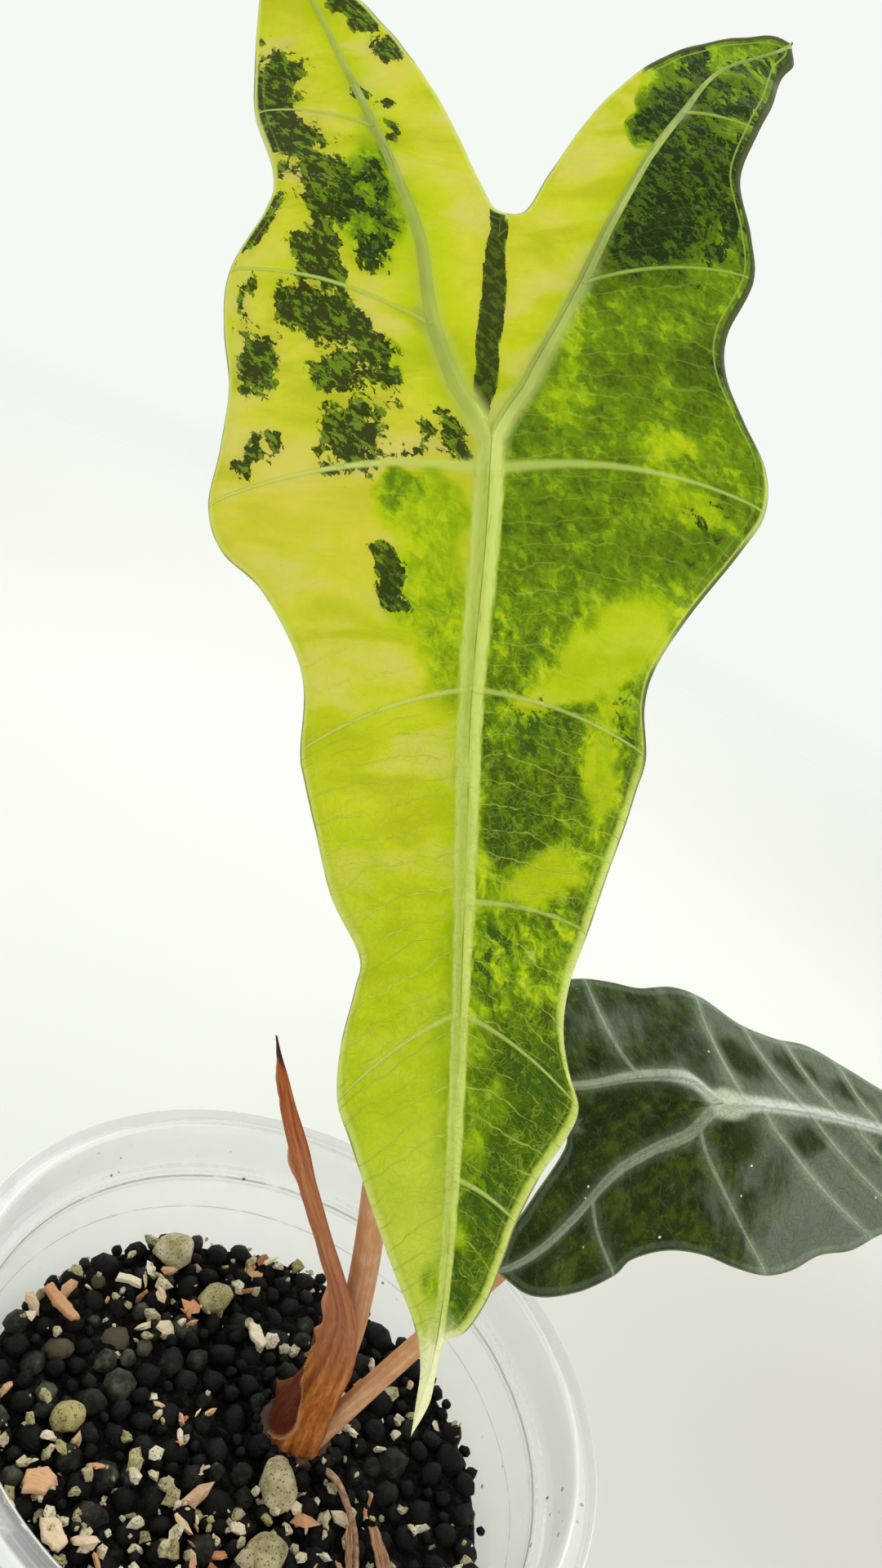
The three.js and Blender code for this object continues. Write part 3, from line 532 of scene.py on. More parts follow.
# Ground tones on the tall blade, painted in this order: the same first five columns, and a tone that
# runs from 0, yellow, through 0.35, lime, to 0.7, mid green.
TONE_BLOTCHES = [
    (-20.5, -38, 4.2, 10, -5, 0.76), (-16, -12, 1.6, 3, -20, 0.5), (20, -44, 12.5, 15.5, 18, 1.08),
    (29, -65, 6.5, 7.5, 10, 0.85), (24, -58, 6, 9, 15, 0.95), (11, -20, 3.4, 9, -5, 0.52),
    (10, -7, 3.2, 3.4, 5, 0.45), (25, -1, 6.4, 2.4, 0, 0.4), (26, -69.5, 9, 4.2, -25, 0.74),
    (34, -71, 5, 3.6, -20, 0.58), (38.5, -76.5, 6.5, 3.4, -10, 0.72), (-8, 11, 5.8, 5.7, 20, 0.41),
    (-6.5, 22, 5.6, 9, -20, 0.42), (-3, 31, 3.6, 7.6, -15, 0.42), (-12, 8, 3, 2.2, 0, 0.56),
    (30, -14, 4, 9, 5, 0.9), (20, -14, 6, 6, 10, 0.8), (12, 14, 10, 5.5, 20, 0.74),
    (32, 10, 5.5, 5, -25, 0.86), (18, 30, 5.6, 13.5, 45, 0.26), (17, 39, 3.6, 4.6, 40, 0.3),
    (29, 7, 7.2, 2.4, 25, 0.42), (8, 24, 5, 5, 10, 0.66), (-10, 60, 12, 19.6, 0, 0.22),
    (-9, 52, 7.7, 6.6, 5, 0.12), (-4, 97, 9.8, 25, 5, 0.3), (-4, 86, 5.4, 4.3, 5, 0.28),
    (9, 45, 8, 10, -5, 0.82), (6.5, 54, 4.6, 4, -15, 1.05), (11.5, 61.5, 7.2, 3.9, -12, 0.28),
    (18, 48, 2.8, 6.5, 8, 0.33), (12, 71, 7, 5, 5, 0.6), (12, 90, 8.6, 10.5, 25, 0.95),
    (6, 92, 2.4, 4, 10, 0.6), (5, 101, 3, 4.6, 20, 0.7), (8, 110, 5, 8, 20, 0.95),
    (12, 35.5, 3, 7.5, 62, 0.26),
]

# Hollows between the veins of the low blade, where painted shade replaces the painted sheen: across,
# along, half width, half length, turn.
LOW_SHADED_HOLLOWS = [
    (-8.5, 7, 3.4, 6.6, -20), (-7.7, 19.1, 2.6, 5.4, -25), (-4.4, 29.5, 2.1, 4.4, -20),
    (5.6, 17, 3, 5.8, 25), (6.2, 3.6, 3.2, 3.6, 10), (5.2, 36, 2.2, 5, 25),
    (-3, 42, 1.8, 4, -15),
]
DARK_SOFT = 0.6
LEFT_TONE = 0.07
RIGHT_TONE = 0.7
TIP_TONE = 0.12


def blotch_mask(across, along, blotch, soft):
    """1 inside a turned ellipse and 0 outside it, with a smooth step over the soft share of its radius."""
    centre_across, centre_along, half_width, half_length, turn = blotch[:5]
    cosine = cos(radians(turn))
    sine = sin(radians(turn))
    side = ((across - centre_across) * cosine + (along - centre_along) * sine) / half_width
    length = ((along - centre_along) * cosine - (across - centre_across) * sine) / half_length
    distance = np.hypot(side, length)
    return ease((1 + soft - distance) / (2 * soft))


def leaf_tones(across, along, ground, inner):
    """The ground tone and the share of dark green at each point of the tall blade. Places are pushed
    about by coarse and fine noise first, so that no blotch keeps an even outline. A dark stripe runs
    down from the notch."""
    flat = np.stack([across, along, across * 0], axis=1)
    stripe_half = 1.1 + 0.75 * np.sin(pi * np.clip((-4 - along) / 34, 0, 1))
    stripe_half = stripe_half + 0.35 * lattice_noise(flat, 3.2, 35)
    stripe = ease((stripe_half - np.abs(across + 1.45)) / 0.4 + 0.5)
    stripe = stripe * ease((-2.5 - along) / 4)
    across = across + 1.3 * lattice_noise(flat, 6.0, 31) + 0.9 * lattice_noise(flat, 2.3, 32)
    along = along + 1.8 * lattice_noise(flat, 6.5, 33) + 1.3 * lattice_noise(flat, 2.6, 34)
    tone = ground.copy()
    for blotch in TONE_BLOTCHES:
        mask = blotch_mask(across, along, blotch, 0.4)
        tone = tone + (blotch[5] - tone) * mask
    tone = tone + (TIP_TONE - tone) * ease((along - 121) / 5)
    # Low on the right lobe the green ends at the rib
    low_right = ease((18.6 - across) / 1.2) * (across > 0) * (along < -45)
    within = np.maximum(inner * ease((along + 51) / 3), low_right)
    tone = tone + (LEFT_TONE - tone) * within
    dark = np.zeros_like(tone)
    for blotch in DARK_BLOTCHES:
        dark = np.maximum(dark, blotch[5] * blotch_mask(across, along, blotch, DARK_SOFT))
    return tone, np.maximum(dark * (1 - within * (across > 0)), 1.1 * stripe)


def blade_rows(blade, step):
    """The reach of each row: the tip, each vein with rows close by it, the joint, the notch and the
    lobes' tips, with even rows between them."""
    lobe = 0.5 * (blade["left"]["lobe"] + blade["right"]["lobe"])
    tip = blade["midrib"][0][0]
    veins = np.array(sorted({*blade["left"]["veins"], *blade["right"]["veins"]}))
    lengths = np.where(veins < 0, veins * lobe, veins)
    near = (lengths[:, None] + np.array(VEIN_ROWS)).ravel()
    near = near[(near < tip - 0.5) & (near > 0.5 - lobe)]
    fixed = np.concatenate([[tip, 0.0, blade["notch_reach"] * lobe, -lobe], lengths, near])
    fixed = np.unique(np.round(fixed, 4))[::-1]
    parts = [
        np.linspace(high, low, max(1, ceil((high - low) / step)), endpoint=False)
        for high, low in zip(fixed[:-1], fixed[1:])
    ]
    rows = np.append(np.concatenate(parts), -lobe)
    return np.where(rows < 0, rows / lobe, rows)


def blade_form(blade, across, along):
    """How far the blade's middle stands out: an arch along it, a fold and a droop to each side, and a
    sine wave that grows with the square of the distance from the midrib."""
    side = np.abs(across)
    height, length, period = blade["wave"]
    phase = np.where(across < 0, *blade["phase"])
    wave = height * np.minimum(side / length, 1.2) ** 2 * np.sin(2 * pi * along / period + phase)
    fold = np.where(across < 0, *blade["fold"]) * side
    bend, middle = blade["arch"]
    return -bend * (along - middle) ** 2 + fold - blade["droop"] * side ** 2 + wave


def blade_strip(blade, side, rows, inner, relief, columns):
    """One strip of a blade, from its rib to its margin or to the cleft between the lobes. A point is
    the rib's place plus a share of the way to the edge, and bows back by share times one minus share.
    Relief is the puff between veins, the pucker beside the rib and the roll of the edge."""
    tip = blade["midrib"][0][0]
    stout, thin = blade["rib_width"]
    tall, shallow = blade["rib_height"]
    above = rows >= 0
    length_back = rows * side["lobe"]
    midrib, basal = look_up(blade["midrib"], rows)[:, 0], look_up(side["basal"], length_back)[:, 0]
    rib_across = np.where(above, midrib, basal)
    rib = np.stack([rib_across, np.where(above, rows, length_back)], axis=1)
    if inner:
        share_back = rows / blade["notch_reach"]
        straight = np.stack([side["cleft"][0][1] * share_back, -blade["notch"] * share_back], axis=1)
        edge = np.where((rows >= blade["notch_reach"])[:, None], straight, look_up(side["cleft"], rows))
    else:
        edge = look_up(side["margin"], rows)
    rib_share = np.where(above, 1 - rows / tip, 1 + rows)
    rib_half = (thin + (stout - thin) * rib_share) / 2
    rib_height = shallow + (tall - shallow) * rib_share
    span = edge - rib
    length = np.linalg.norm(span, axis=1)
    near = np.minimum(FARTHEST_RIB_SIDE, rib_half / np.maximum(length, 1e-6))[:, None]
    out_columns = np.concatenate([np.linspace(0, 0.97, columns)[1:], MARGIN_COLUMNS])
    share = np.concatenate([near * RIB_COLUMNS, near + (1 - near) * out_columns], axis=1)
    flat = rib[:, None] + span[:, None] * share[..., None]
    bow = 0.0 if inner else VEIN_BOW
    flat[..., 1] -= bow * length[:, None] * share * (1 - share)

    # Distances along the sheet, from the rib, the edge and the nearest lateral vein
    from_rib = share * length[:, None]
    from_edge = (1 - share) * length[:, None]
    run = lengths_along(flat)
    if inner:
        # Down to the notch the two inner strips meet, and there is no edge
        from_edge = np.maximum(from_edge, ((rows - blade["notch_reach"]) * side["lobe"])[:, None])
    from_vein = np.full(run.shape, FAR)
    vein_half = 0.62 - 0.38 * share ** 0.6
    if not inner:
        for vein in side["veins"]:
            row = int(np.argmin(np.abs(rows - vein)))
            widening = 2.5 - 1.5 * share ** 0.5 if vein == WIDE_VEIN else 1.0
            from_vein = np.minimum(from_vein, np.abs(run - run[row]) / widening)
    stops = np.array(sorted([tip, *(() if inner else side["veins"]), -1.0], reverse=True))
    stop = np.clip(np.searchsorted(-stops, -rows, side="right") - 1, 0, len(stops) - 2)
    between = (stops[stop] - rows) / (stops[stop] - stops[stop + 1])
    next_row = np.minimum(np.searchsorted(-rows, -stops[stop + 1]), len(rows) - 1)
    gap = np.abs(run[next_row] - run[np.searchsorted(-rows, -stops[stop])])
    puff = relief["puff"] * np.sin(pi * between)[:, None] * np.sin(pi * share ** 0.75)
    puff = puff * np.clip(gap / 25, 0.15, 1.0)
    reach_length = np.where(above, rows, length_back)[:, None]
    ripple = 0.5 - 0.5 * np.cos(2 * pi * (reach_length + 0.12 * from_rib) / relief["pucker_step"])
    beside = np.exp(-(from_rib / relief["pucker_reach"] - 1) ** 2 * 1.6)
    pucker = -relief["pucker"] * ripple * beside * ease((from_rib - rib_half[:, None]) / 1.5)
    roll = -relief["roll"] * np.clip(1 - from_edge / ROLL_WIDTH, 0, 1) ** 2 * (0.0 if inner else 1.0)
    ridge = shallow * (1 - share ** 2) * np.exp(-(from_vein / VEIN_HALF) ** 2)
    rib_profile = rib_height[:, None] * np.clip(1 - (from_rib / rib_half[:, None]) ** 2, 0, 1) ** 1.5
    height = np.maximum(rib_profile, ridge)
    half = BLADE_HALF * np.sqrt(np.clip(from_edge / 0.7, 0.03, 1.0))
    half = np.where((length < 1e-6)[:, None], BLADE_HALF * 0.2, half)
    return {
        "flat": flat, "rise": puff + pucker + roll, "height": height, "half": half,
        "rib": from_rib / rib_half[:, None], "vein": from_vein / vein_half, "edge": from_edge,
        "reach": np.broadcast_to(reach_length, run.shape),
        "inner": np.full(run.shape, 1.0 if inner else 0.0),
    }


def blade_mesh(blade, relief, step, columns):
    """A closed blade: both sides' strips joined along the ribs, with a front and a back that share one
    split into triangles. Hands back its points, faces and what each point knows of its place."""
    rows = blade_rows(blade, step)
    axes = {key: unit(blade[key]) for key in ("across", "along", "out")}
    handed = float(np.sign(np.cross(axes["across"], axes["along"]) @ axes["out"]))
    fields = {}
    triangles = []
    count = 0
    for name, turn in (("left", -1), ("right", 1)):
        for inner in (False, True):
            part = rows[rows <= 0] if inner else rows
            across_it = columns - 8 if inner else columns
            strip = blade_strip(blade, blade[name], part, inner, relief, across_it)
            shape = strip["inner"].shape
            strip["side"] = np.full(shape, float(turn))
            for key, values in strip.items():
                fields.setdefault(key, []).append(values.reshape(shape[0] * shape[1], -1))
            faces = grid_triangles(counted(*shape)) + count
            # Rows run from the tip back and columns out from the rib
            if (turn * handed > 0) != inner:
                faces = faces[:, ::-1]
            triangles.append(faces)
            count += shape[0] * shape[1]
    fields = {key: np.concatenate(values) for key, values in fields.items()}
    keys = np.floor(fields["flat"] / SAME_PLACE + 0.37).astype(np.int64)
    _, first, index = np.unique(keys, axis=0, return_index=True, return_inverse=True)
    index = index.ravel()
    fields = {key: values[first] for key, values in fields.items()}
    faces = whole_triangles(index[np.concatenate(triangles)])
    across, along = fields["flat"].T
    middle = (
        np.asarray(blade["joint"], float)
        + across[:, None] * axes["across"]
        + along[:, None] * axes["along"]
        + (blade_form(blade, across, along)[:, None] + fields["rise"]) * axes["out"]
    )
    front = middle + (fields["half"] + fields["height"]) * axes["out"]
    back = middle - (fields["half"] + BACK_RIB_SHARE * fields["height"]) * axes["out"]
    kept = ("rib", "vein", "edge", "reach", "inner", "side")
    known = {key: np.tile(fields[key][:, 0], 2) for key in kept}
    known["across"] = np.tile(across, 2)
    known["along"] = np.tile(along, 2)
    known["back"] = np.repeat([0.0, 1.0], len(across))
    return np.concatenate([front, back]), closed_sheet(faces, len(across)), known


def make_blade(name, finish, points, faces, known, painted):
    """A blade's piece, with its flat place in centimetres and what each point knows."""
    kept = {key: known[key] for key in ("rib", "vein", "edge", "reach", "back")}
    kept["flat"] = np.stack([known["across"], known["along"], known["back"] * 3], axis=1) / 10
    piece = make_piece(f"leaf_{name}", points, faces, (f"blade_{name}",), {**kept, **painted})
    dress(piece, finish)


# Round, lumpy and tubular shapes

END_ROUNDING = 0.4
BEND_POINTS = 5


def capped(rings, first, last):
    """A closed surface from rings of points and one point beyond each end."""
    rows, sides = rings.shape[:2]
    points = np.concatenate([[first], rings.reshape(-1, 3), [last]])
    ends = np.zeros((1, sides), int)
    grid = np.concatenate([ends, counted(rows, sides) + 1, ends + rows * sides + 1])
    return points, grid_triangles(np.concatenate([grid, grid[:, :1]], axis=1))


def rings_round(radius, height, sides):
    """A ring about the upright axis for each radius and height."""
    turn = even_turns(sides)
    radius = np.asarray(radius, float)[:, None]
    height = np.broadcast_to(np.asarray(height, float)[:, None], (len(radius), sides))
    return np.stack([radius * np.cos(turn), radius * np.sin(turn), height], axis=2)


def turned_to(points, turn, at):
    """Points turned about the upright axis by an angle, and then moved."""
    cosine, sine = cos(turn), sin(turn)
    x, y, z = points.T
    return np.stack([x * cosine - y * sine, x * sine + y * cosine, z], axis=1) + np.asarray(at)


def ball(rings, sides):
    """A unit ball: rings at even angles from the lower pole to the upper one."""
    fall = np.linspace(pi, 0, rings + 1)[1:-1]
    return capped(rings_round(np.sin(fall), np.cos(fall), sides), (0, 0, -1), (0, 0, 1))


def random_turns(draw, count):
    """Random rotation matrices, from random unit quaternions."""
    w, x, y, z = unit(draw.normal(size=(count, 4))).T
    return np.stack([
        np.stack([1 - 2 * (y * y + z * z), 2 * (x * y - z * w), 2 * (x * z + y * w)], axis=1),
        np.stack([2 * (x * y + z * w), 1 - 2 * (x * x + z * z), 2 * (y * z - x * w)], axis=1),
        np.stack([2 * (x * z - y * w), 2 * (y * z + x * w), 1 - 2 * (x * x + y * y)], axis=1),
    ], axis=1)


def repeated(faces, count, step):
    """A shape's faces once for each of its copies, with its points' numbers a step higher each time."""
    return (faces[None] + (np.arange(count) * step)[:, None, None]).reshape(-1, 3)


def many(shape, places, sizes, draw, rough):
    """Copies of one small closed shape: each is stretched by its three sizes, roughened point by point,
    turned at random and moved to its place."""
    points, faces = shape
    count = len(places)
    lumps = 1 + rough * draw.uniform(-1, 1, (count, len(points), 1))
    local = points[None] * sizes[:, None] * lumps
    turned = np.einsum("nij,nvj->nvi", random_turns(draw, count), local)
    moved = turned + places[:, None]
    return moved.reshape(-1, 3), repeated(faces, count, len(points))


def tube(path, radii, sides, up):
    """A round tube: a ring square to each point of the path, on two directions that come from the
    path's run and one fixed direction, closed by a rounded point at each end."""
    run = unit(np.gradient(path, axis=0))
    side = unit(np.cross(run, up))
    other = np.cross(run, side)
    turn = even_turns(sides)
    around = np.cos(turn)[:, None] * side[:, None] + np.sin(turn)[:, None] * other[:, None]
    radii = np.broadcast_to(np.asarray(radii, float).reshape(len(path), -1), (len(path), sides))
    rings = path[:, None] + around * radii[..., None]
    before = path[0] - run[0] * radii[0, 0] * END_ROUNDING
    beyond = path[-1] + run[-1] * radii[-1, 0] * END_ROUNDING
    points, faces = capped(rings, before, beyond)
    length = lengths_along(path)
    skin = np.stack([np.cos(turn) * radii, np.sin(turn) * radii,
                     np.broadcast_to(length[:, None], radii.shape)], axis=2)
    skin = np.concatenate([[[0, 0, 0]], skin.reshape(-1, 3), [[0, 0, length[-1]]]])
    return points, faces, skin


def bezier(corners, t):
    """A cubic curve: each corner weighted by its term of ((1 - t) + t) cubed."""
    corners = np.asarray(corners, float)
    t = np.asarray(t)[:, None]
    weights = ((1 - t) ** 3, 3 * (1 - t) ** 2 * t, 3 * (1 - t) * t ** 2, t ** 3)
    return sum(weight * corner for weight, corner in zip(weights, corners))


def even_run(path, count):
    """A path drawn again with points at even distances along it."""
    length = lengths_along(path)
    places = np.linspace(0, length[-1], count)
    return np.stack([np.interp(places, length, path[:, axis]) for axis in range(3)], axis=1)


def rounded(profile, radius):
    """A profile with each inner corner replaced by a short quadratic curve that starts and ends a
    small distance from it."""
    profile = np.asarray(profile, float)
    corner = profile[1:-1]
    ends = []
    for neighbour in (profile[:-2], profile[2:]):
        aside = neighbour - corner
        length = np.linalg.norm(aside, axis=1, keepdims=True)
        ends.append(corner + aside / length * np.minimum(radius, 0.45 * length))
    start, end = ends
    t = np.linspace(0, 1, BEND_POINTS)[None, :, None]
    bends = (1 - t) ** 2 * start[:, None] + 2 * t * (1 - t) * corner[:, None] + t ** 2 * end[:, None]
    return np.concatenate([profile[:1], bends.reshape(-1, 2), profile[-1:]])


def turned(profile, sides):
    """A closed lathe surface: each point of the profile carried round the axis."""
    radius, height = profile[1:-1].T
    return capped(rings_round(radius, height, sides), (0, 0, profile[0][1]), (0, 0, profile[-1][1]))


# The cup and its fill

# The inner wall's radius at the floor, and how fast it grows up to the ledge
INNER_FOOT = 43
WALL_TAPER = (51.5 - INNER_FOOT) / 63
POT_PROFILE = [
    (0, 0), (43.2, 0), (44, 0.8), (52.5, 63), (54.7, 64.4), (54.9, 73), (57.4, 73.4), (57.6, 71),
    (58.5, 71), (58.5, 74.2), (57.8, 75), (55.1, 75), (54, 74), (53.3, 65), (51.8, 63.6), (51.5, 62.4),
    (INNER_FOOT + WALL_TAPER * 1.2, 1.2), (0, 1.2),
]
FILL_TOP = 47.6
CROWN = (8.5, 6.6)
CROWN_RADIUS = 6.3
# How many pellets of each size, with their least and greatest radius
PELLET_RADII = ((28, 3.1, 3.8), (120, 2.4, 3.1), (300, 1.7, 2.4), (420, 1.1, 1.6))
SMALL_PELLET = 1.7
RING_COUNT = 46
# The pellets at the wall: how many in each ring, and the rings' lowest height, limit and step
WALL_ROUND = 66
WALL_RINGS = (3.4, 46.0, 3.9)
# The height of the top pellets' upper sides
PELLET_TOP = 50.9

# Each stone: its middle, its three radii and its turn
STONES = [
    ((-26.5, 34, 50.4), (4.3, 3.9, 3.4), 0.4), ((-14.9, 27.5, 50.2), (3.6, 3, 2.8), 1.2),
    ((8.6, -5, 50.6), (3.1, 4.7, 3.2), 0.3), ((10.3, -17.7, 50.2), (3.2, 3.7, 2.9), 2.1),
    ((-29.4, -10.4, 50), (2.9, 2.6, 2.5), 0.9), ((25, -30, 50.2), (3.6, 3.1, 2.9), 1.7),
]
# Each chip: its middle, its outline, its thickness and its turn
CHIPS = [
    ((-40.3, 9.6, 50.8), [(-4.9, -0.9), (-1, -1.3), (3.6, -0.9), (4.6, 0.4), (0.6, 1.2), (-4.2, 0.9)],
     1.5, -0.45),
    ((-28.6, -23.6, 50.9), [(-2.6, -1.8), (1.2, -2.2), (3, 0.2), (1.4, 2.1), (-2, 1.7)], 1.7, 0.5),
    ((-22.6, -30, 50.5), [(-3, -1.1), (0.4, -1.9), (3.1, -0.6), (2.2, 1.4), (-1.8, 1.6)], 1.4, -0.7),
    ((-31.6, 21.4, 50.9), [(-2.7, -1), (0, -0.4), (2.7, -1.1), (2.3, 0.7), (0, 1.3), (-2.4, 0.8)],
     1.1, 0.2),
    ((-4.6, 23, 50.9), [(-3.1, -0.7), (0.6, -1.4), (3.2, -0.3), (2.4, 1.1), (-1.9, 1.2)], 1.3, -0.9),
]
ROOT_POINTS = [
    (14.9, 1.6, 51.3), (18.2, 0.2, 51.4), (21, -2.9, 51.2), (23.4, -6.7, 51.1), (25.2, -12.2, 50.9),
    (26.4, -17.5, 50.2), (27.2, -22, 48.2),
]
# Each dry strip: its start, a corner that its curve bends towards, its end and its width
STRIPS = [
    ((22.2, -7.4, 51.8), (23.1, -11.3, 52.2), (24.2, -15.6, 51.7), 1.3),
    ((26.6, -5, 51), (29.2, -9.6, 51.6), (32, -15.4, 51), 2.5),
]
STRIP_HALF = 0.16


def inner_radius(height):
    """The radius of the cup's inner wall at a height."""
    return INNER_FOOT + WALL_TAPER * height


def settle(radii, reach, keep_out, draw, tries=70):
    """Places on a disc for round pieces, the largest first: each takes the spot, of some tried at
    random, that is clearest of those already down and of what it must keep out of."""
    placed = np.empty((0, 3))
    blocks = np.asarray(keep_out, float)
    for radius in radii:
        spread = (reach - radius) * np.sqrt(draw.uniform(0, 1, tries))
        turn = draw.uniform(0, 2 * pi, tries)
        spots = np.stack([spread * np.cos(turn), spread * np.sin(turn)], axis=1)
        others = np.concatenate([placed, blocks])
        clear = np.linalg.norm(spots[:, None] - others[None, :, :2], axis=2) - others[None, :, 2] - radius
        room = clear.min(axis=1)
        best = int(np.argmax(room))
        if room[best] > -0.28 * radius:
            placed = np.concatenate([placed, [[*spots[best], radius]]])
    return placed


def surface_under(spots, balls):
    """The height of a heap of balls under each spot: the highest of their tops there."""
    apart = np.linalg.norm(spots[:, None, :2] - balls[None, :, :2], axis=2)
    inside = np.maximum(balls[None, :, 3] ** 2 - apart ** 2, 0)
    tops = np.where(inside > 0, balls[None, :, 2] + np.sqrt(inside), FILL_TOP)
    return tops.max(axis=1)


def heap(sizes, draw):
    """The top pellets: large ones first, sunk so that their tops follow a gently uneven surface, then
    small ones lower down in the gaps. Each row is a centre and a radius."""
    radii = [np.sort(draw.uniform(low, high, count))[::-1] for count, low, high in PELLET_RADII]
    radii = np.concatenate(radii) * sizes.pellet_scale
    blocks = [(*CROWN, CROWN_RADIUS)]
    blocks += [(at[0], at[1], 0.72 * max(size[:2])) for at, size, _ in STONES]
    placed = settle(radii, inner_radius(FILL_TOP) - 0.5, blocks, draw)
    top = PELLET_TOP + 0.7 * lattice_noise(np.pad(placed[:, :2], ((0, 0), (0, 1))), 13, 5)
    top = top - 0.5 * draw.uniform(0, 1, len(placed)) - np.where(placed[:, 2] < SMALL_PELLET, 0.7, 0)
    low = [at for at, *_ in CHIPS] + list(ROOT_POINTS) + [end for strip in STRIPS for end in strip[:3]]
    near = np.linalg.norm(placed[:, None, :2] - np.array(low)[None, :, :2], axis=2) - placed[:, None, 2]
    top = top - 0.9 * ease(1 - near.min(axis=1) / 2.5)
    # Pellets lean on the crown and small ones hide the stem base's rim
    from_crown = np.hypot(placed[:, 0] - CROWN[0], placed[:, 1] - CROWN[1]) - placed[:, 2]
    top = top + 1.4 * ease(1 - (from_crown - 6.0) / 2.0)
    turn = draw.uniform(0, 2 * pi, RING_COUNT)
    size = draw.uniform(0.8, 1.45, RING_COUNT)
    out = draw.uniform(6.9, 8.4, RING_COUNT)
    ring = np.column_stack([CROWN[0] + out * np.cos(turn), CROWN[1] + out * np.sin(turn),
                            draw.uniform(51.9, 52.9, RING_COUNT) - size, size])
    return np.concatenate([np.column_stack([placed[:, :2], top - placed[:, 2], placed[:, 2]]), ring])


def wall_pellets(draw):
    """Pellets that press against the clear wall: rings of even spacing up the wall, each pellet moved
    a little, with its centre its own radius inside the wall. Each row is a centre and a radius."""
    heights = np.arange(*WALL_RINGS)
    offset = 0.5 * (np.arange(len(heights)) % 2)[:, None]
    turn = (np.arange(WALL_ROUND)[None] + offset) / WALL_ROUND * 2 * pi
    turn = turn + draw.uniform(-0.016, 0.016, turn.shape)
    radius = draw.uniform(1.7, 2.6, turn.shape)
    height = heights[:, None] + draw.uniform(-0.7, 0.7, turn.shape)
    out = inner_radius(height) - 0.35 - radius
    return np.stack([out * np.cos(turn), out * np.sin(turn), height, radius], axis=2).reshape(-1, 4)


def lumpy_stone(size, turn, at, seed):
    """A worn stone: a ball with some sides pressed flat, swollen by coarse and fine noise, stretched
    to its size and turned."""
    points, faces = ball(30, 44)
    draw = np.random.default_rng(seed)
    for direction in unit(draw.normal(size=(9, 3))):
        beyond = np.maximum(points @ direction - draw.uniform(0.72, 0.9), 0)
        points = points - 0.85 * beyond[:, None] * direction
    swell = 1.04 + 0.07 * lattice_noise(points, 0.75, seed) + 0.03 * lattice_noise(points, 0.22, seed + 1)
    swell = swell - 0.035 * np.maximum(lattice_noise(points, 0.13, seed + 2), 0) ** 2
    points = points * swell[:, None] * np.asarray(size) * 1.03
    return turned_to(points, turn, at), faces


def lumpy_chip(outline, thickness, turn, at, seed):
    """A flat chip: its outline carried from a point under it, out round the edge and back to a point
    over it. The share of the outline is a root of the sine of the angle, and the height a root of its
    cosine, which leaves the faces nearly flat and the edge rounded."""
    corners = np.asarray(outline, float)
    sides = 60
    places = np.arange(sides) / sides * len(corners)
    first = np.floor(places).astype(int)
    mix = (places - first)[:, None]
    edge = corners[first] * (1 - mix) + corners[(first + 1) % len(corners)] * mix
    ragged = np.pad(edge, ((0, 0), (0, 1)))
    edge = edge * (1 + 0.1 * lattice_noise(ragged, 0.7, seed))[:, None]
    angle = np.linspace(pi, 0, 15)[1:-1, None]
    share = np.sin(angle) ** 0.45
    height = thickness / 2 * np.sign(np.cos(angle)) * np.abs(np.cos(angle)) ** 0.5
    height = np.broadcast_to(height, (len(angle), sides))
    rings = np.stack([share * edge[:, 0], share * edge[:, 1], height], axis=2)
    points, faces = capped(rings, (0, 0, -thickness / 2), (0, 0, thickness / 2))
    # The upper and lower faces are a little uneven, and bend up towards the ends
    points[:, 2] += 0.16 * lattice_noise(points * (1, 3, 0.2), 1.1, seed + 1) + 0.02 * points[:, 0] ** 2
    return turned_to(points, turn, at), faces


def ribbon(start, middle, end, width, seed):
    """A dry strip: a quadratic curve with a width across it, narrower at its ends, ragged at its
    edges by noise and curled up towards them by the square of the distance from the middle."""
    rows, columns = 50, 13
    t = np.linspace(0, 1, rows)[:, None]
    start, middle, end = (np.asarray(corner, float) for corner in (start, middle, end))
    path = (1 - t) ** 2 * start + 2 * t * (1 - t) * middle + t ** 2 * end
    side = unit(np.cross(np.gradient(path, axis=0), (0, 0, 1)))
    across = np.linspace(-1, 1, columns)
    half = width / 2 * (0.75 + 0.25 * np.sin(pi * t))
    half = half * (1 + 0.14 * lattice_noise(np.concatenate([t * 14, t, t], axis=1), 1, seed))[:, None]
    middle_line = path[:, None] + side[:, None] * (half * across)[..., None]
    middle_line[..., 2] += 0.28 * across ** 2 + 0.1 * np.cos(across * 9) + 0.12 * np.sin(t * 17)
    points = middle_line.reshape(-1, 3)
    up = (0, 0, STRIP_HALF)
    faces = closed_sheet(grid_triangles(counted(rows, columns)), len(points))
    wide = half * across
    length = np.broadcast_to(t * np.linalg.norm(end - start), wide.shape)
    skin = np.stack([wide, wide * 0, length], axis=2).reshape(-1, 3)
    return np.concatenate([points + up, points - up]), faces, np.tile(skin, (2, 1))


# Stalks and the dry sheath

# Each stalk: the four corners of its cubic curve, and its radius at the foot and at the blade
PETIOLES = {
    "tall": ([(7.6, 8.8, 52.3), (20, 9.5, 80), (-22, 23, 140), (-32.9, 16.65, 221.8)], 2.85, 1.65),
    "low": ([(11.6, 4.8, 52.3), (21, 6.5, 84), (38, 27, 114), (49.7, 29.05, 136.6)], 2.1, 1.3),
}
STALK_SIDES = 28

